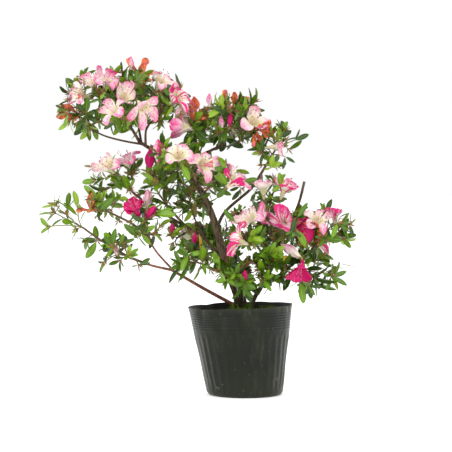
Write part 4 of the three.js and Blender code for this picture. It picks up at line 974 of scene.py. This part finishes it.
leaf_faces = woven(len(LEAF_STATIONS), 4, closed=False)
leaf_finishes = [Finish(name, code, 0.4, 0.4) for name, code in LEAF_TINTS]
leaf_finishes += [Finish(name, code, 0.5) for name, code in LEAF_RIBS]
scale_brown = Finish("bud_scale_olive", "8d7a4a", 0.7)
scale_rust = Finish("bud_scale_rust", "9a5c38", 0.7)
leaf_heaps = {side: Heap(f"{side}_leaves", leaf_finishes) for side in ("front", "back")}
scale_heap = Heap("bud_scales", [scale_brown, scale_rust])
for spray in sprays:
    space, name = spray["space"], spray["name"]
    blooms = [bloom for bloom in spray["blooms"] if bloom["kind"] not in FURLED]
    taken = []
    for shoot in spray["shoots"]:
        draw = seeded(shoot["seed"] + 50000)
        path, fine, bloom = shoot["path"], shoot["fine"], shoot["bloom"]
        side, rise = square_to(path.heading(1))
        age = draw()
        if name in YOUNG_SPRAYS:
            age = mixed(0.3, 1, age)
        if name in DARK_SPRAYS:
            age *= 0.8
        tint = bisect.bisect_left(TINT_AGES, age)
        vigour = 0.75 + 0.35 * draw() + (LUSH_GAIN if name in LUSH_SPRAYS else 0)
        for share, turn, spread, size in whorl(path, draw, fine, bloom):
            root = path.at(share)
            heading = path.heading(share)
            out = (side * math.cos(turn) + rise * math.sin(turn)).normalized()
            out = (out - heading * out.dot(heading)).normalized()
            along = heading * math.cos(spread) + out * math.sin(spread)
            along = (along + Vector((0, 0, 0.18 - 0.25 * draw()))).normalized()
            face = (heading - along * heading.dot(along)).normalized()
            roll = LEAF_ROLL * (draw() - 0.5)
            face = face * math.cos(roll) + face.cross(along) * math.sin(roll)
            length = mixed(*LEAF_LENGTHS, draw()) * size * vigour
            for shorter in (1, 0.75):
                end = root + along * (length * shorter)
                if space.holds(end, 0) and space.holds(root, 0.5) and space.clear(end, 2):
                    break
            else:
                continue
            length *= shorter
            middle = root + along * (0.6 * length)
            if any(before_a_bloom(spot, blooms) or hides_a_bloom(spot) or before_the_trunk(spot)
                   or in_the_open(spot) for spot in (middle, end)):
                continue
            if any((end - mark).length < LEAF_GAP for mark in taken):
                continue
            taken.append(end)
            shade = tint if draw() < 1 - NEWER_SHARE else min(tint + 1, NEW_GREEN)
            if draw() < YELLOW_SHARE:
                shade = YELLOW
            elif length < SMALL_LEAF and draw() < OLIVE_SHARE:
                shade = OLIVE
            width = length * mixed(*LEAF_WIDTHS, draw()) * (0.75 if shade == OLIVE else 1)
            corners = leaf_mesh(root, along, face, length, width, 0.22 * draw() - 0.02)
            rib = shade + len(LEAF_TINTS)
            leaf_heaps["front" if middle.y < 0 else "back"].add(
                corners, leaf_faces, [rib if i % 3 == 1 else shade for i in range(len(leaf_faces))])
        tip, heading = path.at(1), path.heading(1)
        if not bloom and draw() < 0.85 and not before_a_bloom(tip, blooms):
            for i in range(SCALES):
                turn = i * GOLDEN_ANGLE + age
                way = (side * math.cos(turn) + rise * math.sin(turn)) * 0.7 + heading
                length = mixed(*SCALE_LENGTHS, draw())
                across = way.cross(heading).normalized() * SCALE_HALF
                foot = tip - heading * 2.5
                shoulder = foot + way * (0.5 * length)
                scale_heap.add([foot, shoulder - across, foot + way * length, shoulder + across],
                               [(0, 1, 2, 3)], scale_rust if i % 2 else scale_brown)
for heap in leaf_heaps.values():
    heap.piece("foliage")
scale_heap.piece("foliage")


# The blooms are funnels of five wavy petals on a short tube, cream at the heart and flushed,
# streaked or splashed with pink towards the tips, as this azalea varies from bloom to bloom. They
# have long pale stamens with dark tips. Buds are furled spindles, and withered blooms orange rags.
PETAL_ROWS = 20
PETAL_COLUMNS = 15
FUNNEL = ((0, 1.5, 0), (0.26, 3.4, 10), (0.48, 8.0, 17.5), (0.74, 16.8, 22.5),
          (1, 25.8, 24.5))  # share, radius, height
HINGE = (0.48, 8.5, 17.5)  # share, radius and height where a petal folds back
PETAL_OUTLINE = ((0, 1.1), (0.26, 2.5), (0.48, 5.6), (0.66, 8.3), (0.78, 9.2), (0.88, 8.1), (0.95, 5.4),
                 (1, 1.3))  # share, half width
PETAL_SIZES = {"hot": 1.2, "closing_striped": 1.25, "magenta": 1.03, "striped": 1.08}
BACK_PETAL_SIZE = 0.94
PETAL_FULLNESS = {"magenta": 1.35, "flecked": 0.8, "hot": 1.0}
PETAL_SAG = (1, 7)
NARROW_PITCH = 2.6  # how much more a narrow bloom's petals stand up, and how much fuller they are
NARROW_FULLNESS = 1.6
BANDED = {"striped": 0.16, "hot": 0.14, "closing_striped": 0.0, "furled_striped": -0.02}
PETAL_SHADES = [("cream_petal", "ebe3c0"), ("white_petal", "f0e7d8"), ("blush_petal", "ecc9cf"),
                ("light_pink_petal", "e8a5bd"), ("pink_petal", "e07fa6"), ("rose_petal", "e05892"),
                ("hot_pink_petal", "e62a80"), ("magenta_petal", "ca1468"), ("throat_green", "dadaa0"),
                ("orange_petal", "e87a4c"), ("rust_petal", "b25a38")]
LIGHT_PINK, _, ROSE, HOT, MAGENTA, THROAT, ORANGE, RUST = range(3, 11)  # places in that list
THROAT_BAND = (0.3, 0.52)  # shares of a petal's length
BAND_FOOT = 0.34  # where the broad stripes begin
# For each kind: the shade at the heart, how far the shades deepen to the tip, and the strength
# of the streaks and of the flecks.
PETAL_FLUSH = {
    "white": (0, 2.9, 2.5, 0.5), "pale": (0.5, 2.3, 2.3, 0.6), "pink": (1.6, 2.8, 2.8, 0.8),
    "flecked": (0.8, 2.0, 2.3, 1.6), "striped": (0.2, 3.2, 4.0, 0.5), "hot": (2.0, 3.6, 4.0, 0.6),
    "magenta": (7.0, 0.6, -3.0, 0.0), "magenta_edged": (0.4, 3.2, 3.6, 0.6),
    "orange_hearted": (0.2, 3.4, 3.6, 0.8), "closing_pale": (0.4, 3.0, 3.0, 0.5),
    "closing_striped": (1.0, 3.6, 4.0, 0.4), "furled_pale": (0.6, 3.2, 4.0, 0.4),
    "furled_striped": (1.5, 3.0, 6.0, 0.4), "furled_magenta": (7.0, 0.5, 0.6, 0.2),
}
SPINDLE = ((0, 0.3), (0.15, 0.45), (0.4, 0.9), (0.55, 1), (0.75, 0.8), (0.92, 0.35), (1, 0.06))  # share, radius
SPINDLE_ROWS = 16
SPINDLE_COLUMNS = 20
SPINDLE_GROWTH = (1.15, 1.3)  # how much longer and thicker a furled bloom is than its space
BUD_KINDS = ("furled_striped", "furled_magenta", "pink")  # whose shades the buds take
RAG_ROWS = 11
RAG_COLUMNS = 7
RAG_SIZE = 1.2
RAG_CRUMPLE = 4.4
CALYX_SCALES = 9
THREAD_SPOTS = 6
STAMENS = 6


def read_off(table, share, column=1):
    """A value between the rows of a table, whose first column is the share."""
    for before, after in zip(table, table[1:]):
        if share <= after[0]:
            return mixed(before[column], after[column], (share - before[0]) / (after[0] - before[0]))
    return table[-1][column]


def petal_shade(kind, lobe, across, along, streak, fleck, blush=0.0):
    """The shade of one small face of a petal, by the kind of bloom and the face's place on it."""
    heart, deepening, streaks, flecks = PETAL_FLUSH[kind]
    if kind == "orange_hearted" and lobe == 0 and 0.3 < along < 0.62 and abs(across) < 0.6:
        return ORANGE if fleck < 0.5 else (RUST if fleck < 0.7 else LIGHT_PINK)
    if kind == "magenta_edged" and lobe in (2, 3) and along + 0.25 * abs(across) + 0.5 * streak > 0.62:
        return MAGENTA if fleck < 0.75 else HOT
    if heart < 2 and THROAT_BAND[0] < along < THROAT_BAND[1] and lobe in (0, 1, 4) and abs(across) < 0.6:
        return THROAT
    flush = max(0.0, along - 0.45) / 0.55
    band = streak + 0.6 * (abs(across) - 0.5) + 0.3 * (along - 0.65) + (0.1 if lobe in (1, 3) else 0)
    if kind in BANDED and along > BAND_FOOT and band > BANDED[kind]:
        return HOT if fleck < 0.8 else ROSE
    level = heart + (deepening + blush) * flush + 0.9 * flush * abs(across)
    level += streaks * max(0.0, streak) * (0.5 + flush)
    if fleck < 0.24:
        level += flecks * smooth(0.4, 0.6, along)
    return min(int(level), MAGENTA)


def petal(bloom, lobe, draw):
    """The corners of one petal, row by row: folded back at the hinge, cupped, ruffled and sagging."""
    kind, narrowed = bloom["kind"], 1 - bloom["width"]
    wide, tall = BLOOM_SHAPES.get(kind, (1, 1))
    wide, tall = wide * bloom["width"], tall * (1 + 0.4 * narrowed)
    size = 0.84 + 0.22 * draw()
    size *= PETAL_SIZES.get(kind, 1) if bloom["middle"].y < BACK_OF_CROWN else BACK_PETAL_SIZE
    pitch = math.radians(-22 + 78 * draw() ** 1.2) * (0.4 if wide < 1 else 1) + NARROW_PITCH * narrowed
    sway = math.radians(26) * (draw() - 0.5)
    phase = 6.3 * draw()
    tilt = 0.6 * (draw() - 0.5)
    folding = 0.6 + 2.2 * draw() ** 2
    fullness = PETAL_FULLNESS.get(kind, 0.9) + 0.3 * draw() + NARROW_FULLNESS * narrowed
    stretch = 0.88 + 0.34 * draw()
    sag = mixed(*PETAL_SAG, draw())
    hinge, hinge_radius, hinge_height = HINGE[0], HINGE[1] * wide, HINGE[2] * tall
    corners = []
    for row in range(PETAL_ROWS):
        along = row / (PETAL_ROWS - 1)
        grown = size if along > 0.4 else 1
        radius = read_off(FUNNEL, along) * wide * grown
        height = read_off(FUNNEL, along, 2) * tall
        if along > hinge:
            lean = pitch * smooth(hinge, 1.0, along)
            out, up = (radius - hinge_radius) * stretch, (height - hinge_height) * stretch
            radius = hinge_radius + out * math.cos(lean) - up * math.sin(lean)
            height = hinge_height + out * math.sin(lean) + up * math.cos(lean)
        half = read_off(PETAL_OUTLINE, along) * wide ** 0.5 * grown
        half *= 1 + (fullness - 1) * smooth(0.4, 0.7, along)
        turn = math.radians(72 * lobe) + sway * smooth(0.3, 1, along)
        sideways = bloom_spot(bloom, turn + math.pi / 2, 1, 0) - bloom["base"]
        fallen = Vector((0, 0, sag * smooth(0.5, 1, along) ** 2))
        for column in range(PETAL_COLUMNS):
            across = 2 * column / (PETAL_COLUMNS - 1) - 1
            ruffle = 1.3 * math.sin(6.5 * across + phase) * abs(across) * along * along
            ruffle += 0.8 * math.sin(9 * along + phase) * across * abs(across) * smooth(0.5, 0.9, along)
            cup = 2.2 * folding * across * across * smooth(0.25, 0.7, along) * (1 - 0.5 * smooth(0.85, 1, along))
            groove = -0.6 * math.exp(-(across / 0.2) ** 2) * smooth(0.35, 0.6, along)
            twist = tilt * across * half * smooth(0.45, 1, along)
            lifted = height + ruffle + cup + groove + twist
            middle = bloom_spot(bloom, turn, radius - 0.1 * half * across * across, lifted)
            corners.append(middle + sideways * (half * across * (1.12 - 0.1 * folding)) - fallen)
    return corners


petal_faces = woven(PETAL_ROWS, PETAL_COLUMNS, closed=False)
petal_finishes = [Finish(name, code, 0.55, 0.3) for name, code in PETAL_SHADES]
bloom_heaps = {side: Heap(f"{side}_blooms", petal_finishes) for side in ("front", "back")}
filament = Finish("stamen_thread", "f3cdd6", 0.5)
anther = Finish("dark_anther", "3e2020", 0.7)
style = Finish("pink_style", "e06a98", 0.5)
calyx_green = Finish("calyx_green", "93a34c", 0.6)
hearts = Heap("stamens_and_calyces", [filament, anther, style, calyx_green, scale_brown])


def thread(bloom, turn, lean, length, radius, finish, tip_finish, tip_radius):
    """A stamen or a style: a thin curved thread with a small tip."""
    spots = []
    for i in range(THREAD_SPOTS):
        share = i / (THREAD_SPOTS - 1)
        out = 1.0 + lean * length * share * (0.6 + 0.4 * share)
        spots.append(bloom_spot(bloom, turn, out, 4 + (length - 4) * share) + Vector((0, 0, 2.5 * share * share)))
    tube(hearts, spots, [radius] * THREAD_SPOTS, 4, finish)
    way = (spots[-1] - spots[-2]).normalized()
    tube(hearts, [spots[-1] - way * 0.2, spots[-1] + way * 0.7, spots[-1] + way * 1.5],
         [tip_radius * 0.5, tip_radius, tip_radius * 0.4], 5, tip_finish)


def calyx(bloom, draw):
    """The small green calyx and the brown scales of the old bud under a bloom."""
    for i in range(CALYX_SCALES):
        turn = i * GOLDEN_ANGLE
        green = i % 3 == 0
        length = (4 if green else 8) * (0.8 + 0.4 * draw())
        root = bloom_spot(bloom, turn, 0.8, -3.5 if green else -5)
        shoulder = bloom_spot(bloom, turn, 2.6, -2.5 + 0.4 * length)
        tip = bloom_spot(bloom, turn, 3.2 + draw(), -4 + length)
        sideways = (bloom_spot(bloom, turn + math.pi / 2, 1, 0) - bloom["base"]) * 1.6
        hearts.add([root, shoulder - sideways, tip, shoulder + sideways], [(0, 1, 2, 3)],
                   calyx_green if green else scale_brown)


def furled(heap, bloom, draw):
    """A bud or a furled bloom: a twisted, ribbed spindle of overlapping petals."""
    kind = bloom["kind"]
    length, radius = FURLED[kind]
    if kind != "bud":
        length, radius = SPINDLE_GROWTH[0] * length, SPINDLE_GROWTH[1] * radius
    twist = 0.9 + 0.8 * draw()
    if kind == "bud":
        kind = BUD_KINDS[int(len(BUD_KINDS) * draw())]
    streaks = [draw() - 0.45 for _ in range(SPINDLE_COLUMNS)]
    corners, numbers = [], []
    for row in range(SPINDLE_ROWS):
        share = row / (SPINDLE_ROWS - 1)
        swell = radius * read_off(SPINDLE, share)
        for column in range(SPINDLE_COLUMNS):
            turn = 2 * math.pi * column / SPINDLE_COLUMNS
            rib = 1 + 0.16 * math.cos(5 * turn)
            corners.append(bloom_spot(bloom, turn + twist * share, swell * rib, length * share))
            if row:
                numbers.append(petal_shade(kind, 3, 0, 0.3 + 0.7 * share, streaks[column], draw()))
    heap.add(corners, woven(SPINDLE_ROWS, SPINDLE_COLUMNS), numbers)


def rag(heap, bloom, draw):
    """A withered bloom: five limp, crumpled petals."""
    length, radius = (RAG_SIZE * size for size in FURLED["withered"])
    for lobe in range(5):
        corners, numbers = [], []
        slack = 0.8 + 0.7 * draw()
        reach = 0.55 + 0.55 * draw()
        bend = 9 * (draw() - 0.55)
        crease = 90 * draw()
        sway = 0.8 * (draw() - 0.5)
        for row in range(RAG_ROWS):
            share = row / (RAG_ROWS - 1)
            half = 0.74 * (1.04 - share ** 1.8) * (0.55 + share) * (0.85 + 0.3 * math.sin(8 * share + crease))
            for column in range(RAG_COLUMNS):
                across = 2 * column / (RAG_COLUMNS - 1) - 1
                turn = math.radians(72 * lobe) + across * half + sway * share
                crumple = RAG_CRUMPLE * share * noise.noise(Vector((across * 1.6, share * 2.6, crease)))
                out = radius * (0.25 + 2.3 * share ** 0.9) * slack + crumple + 0.8 * (draw() - 0.5) * share
                up = length * reach * share * (1.15 - 0.2 * share) - crumple + 0.8 * (draw() - 0.5) * share
                corners.append(bloom_spot(bloom, turn, out, up) + Vector((0, 0, bend * share * share)))
                if row and column:
                    numbers.append(ROSE if draw() < 0.1 else (RUST if draw() < 0.4 else ORANGE))
        heap.add(corners, woven(RAG_ROWS, RAG_COLUMNS, closed=False), numbers)


def open_bloom(heap, bloom, draw):
    """Five petals, shaded face by face, and the throat, stamens and style of a bloom that is not closing."""
    kind = bloom["kind"]
    for lobe in range(5):
        corners = petal(bloom, lobe, draw)
        waves = 60 * draw()
        blush = 2.4 * (draw() - 0.5)
        numbers = []
        for i in range(len(petal_faces)):
            row, column = divmod(i, PETAL_COLUMNS - 1)
            along = (row + 0.5) / (PETAL_ROWS - 1)
            across = 2 * (column + 0.5) / (PETAL_COLUMNS - 1) - 1
            streak = noise.noise(Vector((across * 4.2, along * 0.9, waves)))
            numbers.append(petal_shade(kind, lobe, across, along, streak, draw(), blush))
        heap.add(corners, petal_faces, numbers)
    if not kind.startswith("closing"):
        throat = [bloom_spot(bloom, 2 * math.pi * i / 8, 4.4, 9.5) for i in range(8)]
        heap.add([*throat, bloom_spot(bloom, 0, 0, 6.5)], [(i, (i + 1) % 8, 8) for i in range(8)],
                 [MAGENTA if kind == "magenta" else THROAT] * 8)
        for i in range(STAMENS):
            thread(bloom, i * 1.05 + draw(), 0.14 + 0.16 * draw(), 25 + 7 * draw(), 0.22, filament, anther, 0.8)
        thread(bloom, 4.7, 0.1, 35, 0.28, style, style, 0.7)


for spray in sprays:
    for order, bloom in enumerate(spray["blooms"]):
        draw = seeded(900 * (spray["number"] + 1) + order)
        heap = bloom_heaps["front" if bloom["middle"].y < BACK_OF_CROWN else "back"]
        calyx(bloom, draw)
        if bloom["kind"] == "withered":
            rag(heap, bloom, draw)
        elif bloom["kind"] in FURLED:
            furled(heap, bloom, draw)
        else:
            open_bloom(heap, bloom, draw)
for heap in bloom_heaps.values():
    heap.piece("foliage")
hearts.piece("foliage")


# The studio is a wide, pale floor under a pale, even sky and broad soft lights, with the camera
# square on at a little above half of the plant's height.
FLOOR_HALF = 60  # this and the places and sizes of the lights are in metres
floor_mesh = bpy.data.meshes.new("floor")
floor_mesh.from_pydata([(-FLOOR_HALF, -FLOOR_HALF, 0), (FLOOR_HALF, -FLOOR_HALF, 0),
                        (FLOOR_HALF, FLOOR_HALF, 0), (-FLOOR_HALF, FLOOR_HALF, 0)], [], [(0, 1, 2, 3)])
pale_floor = Finish("pale_floor", "fbfbfa", 0.9, 0.1)
pale_floor.shader.inputs["Emission Color"].default_value = (1, 1, 1, 1)
pale_floor.shader.inputs["Emission Strength"].default_value = 0.3
floor_mesh.materials.append(pale_floor.material)
floor = bpy.data.objects.new("floor", floor_mesh)
bpy.context.scene.collection.objects.link(floor)


def soft_light(name, place, aim, size, power):
    lamp = bpy.data.lights.new(name, "AREA")
    lamp.shape = "DISK"
    lamp.size = size
    lamp.energy = power
    made = bpy.data.objects.new(name, lamp)
    made.location = place
    made.rotation_euler = (Vector(aim) - Vector(place)).to_track_quat("-Z", "Y").to_euler()
    bpy.context.scene.collection.objects.link(made)


soft_light("key", (-1.3, -2.0, 2.2), (0, 0, 0.25), 1.2, 26)
soft_light("fill", (1.8, -1.8, 1.2), (0, 0, 0.25), 1.6, 7)
soft_light("back", (0.3, 1.7, 2.0), (0, 0, 0.3), 1.2, 16)
world = bpy.data.worlds.new("studio")
world.use_nodes = True
world.node_tree.nodes["Background"].inputs["Color"].default_value = (1, 1, 1, 1)
world.node_tree.nodes["Background"].inputs["Strength"].default_value = 1.0
bpy.context.scene.world = world
bpy.context.scene.view_settings.view_transform = "Standard"

CAMERA_AT = (-27.7, -2450, 300)
CAMERA_FALL = 1.26
CAMERA_LENS = 133.6
camera_data = bpy.data.cameras.new("camera")
camera_data.lens = CAMERA_LENS
camera_data.sensor_width = 36
camera = bpy.data.objects.new("camera", camera_data)
camera.location = [c * MM for c in CAMERA_AT]
camera.rotation_euler = (math.radians(90 - CAMERA_FALL), 0, 0)
bpy.context.scene.collection.objects.link(camera)
bpy.context.scene.camera = camera
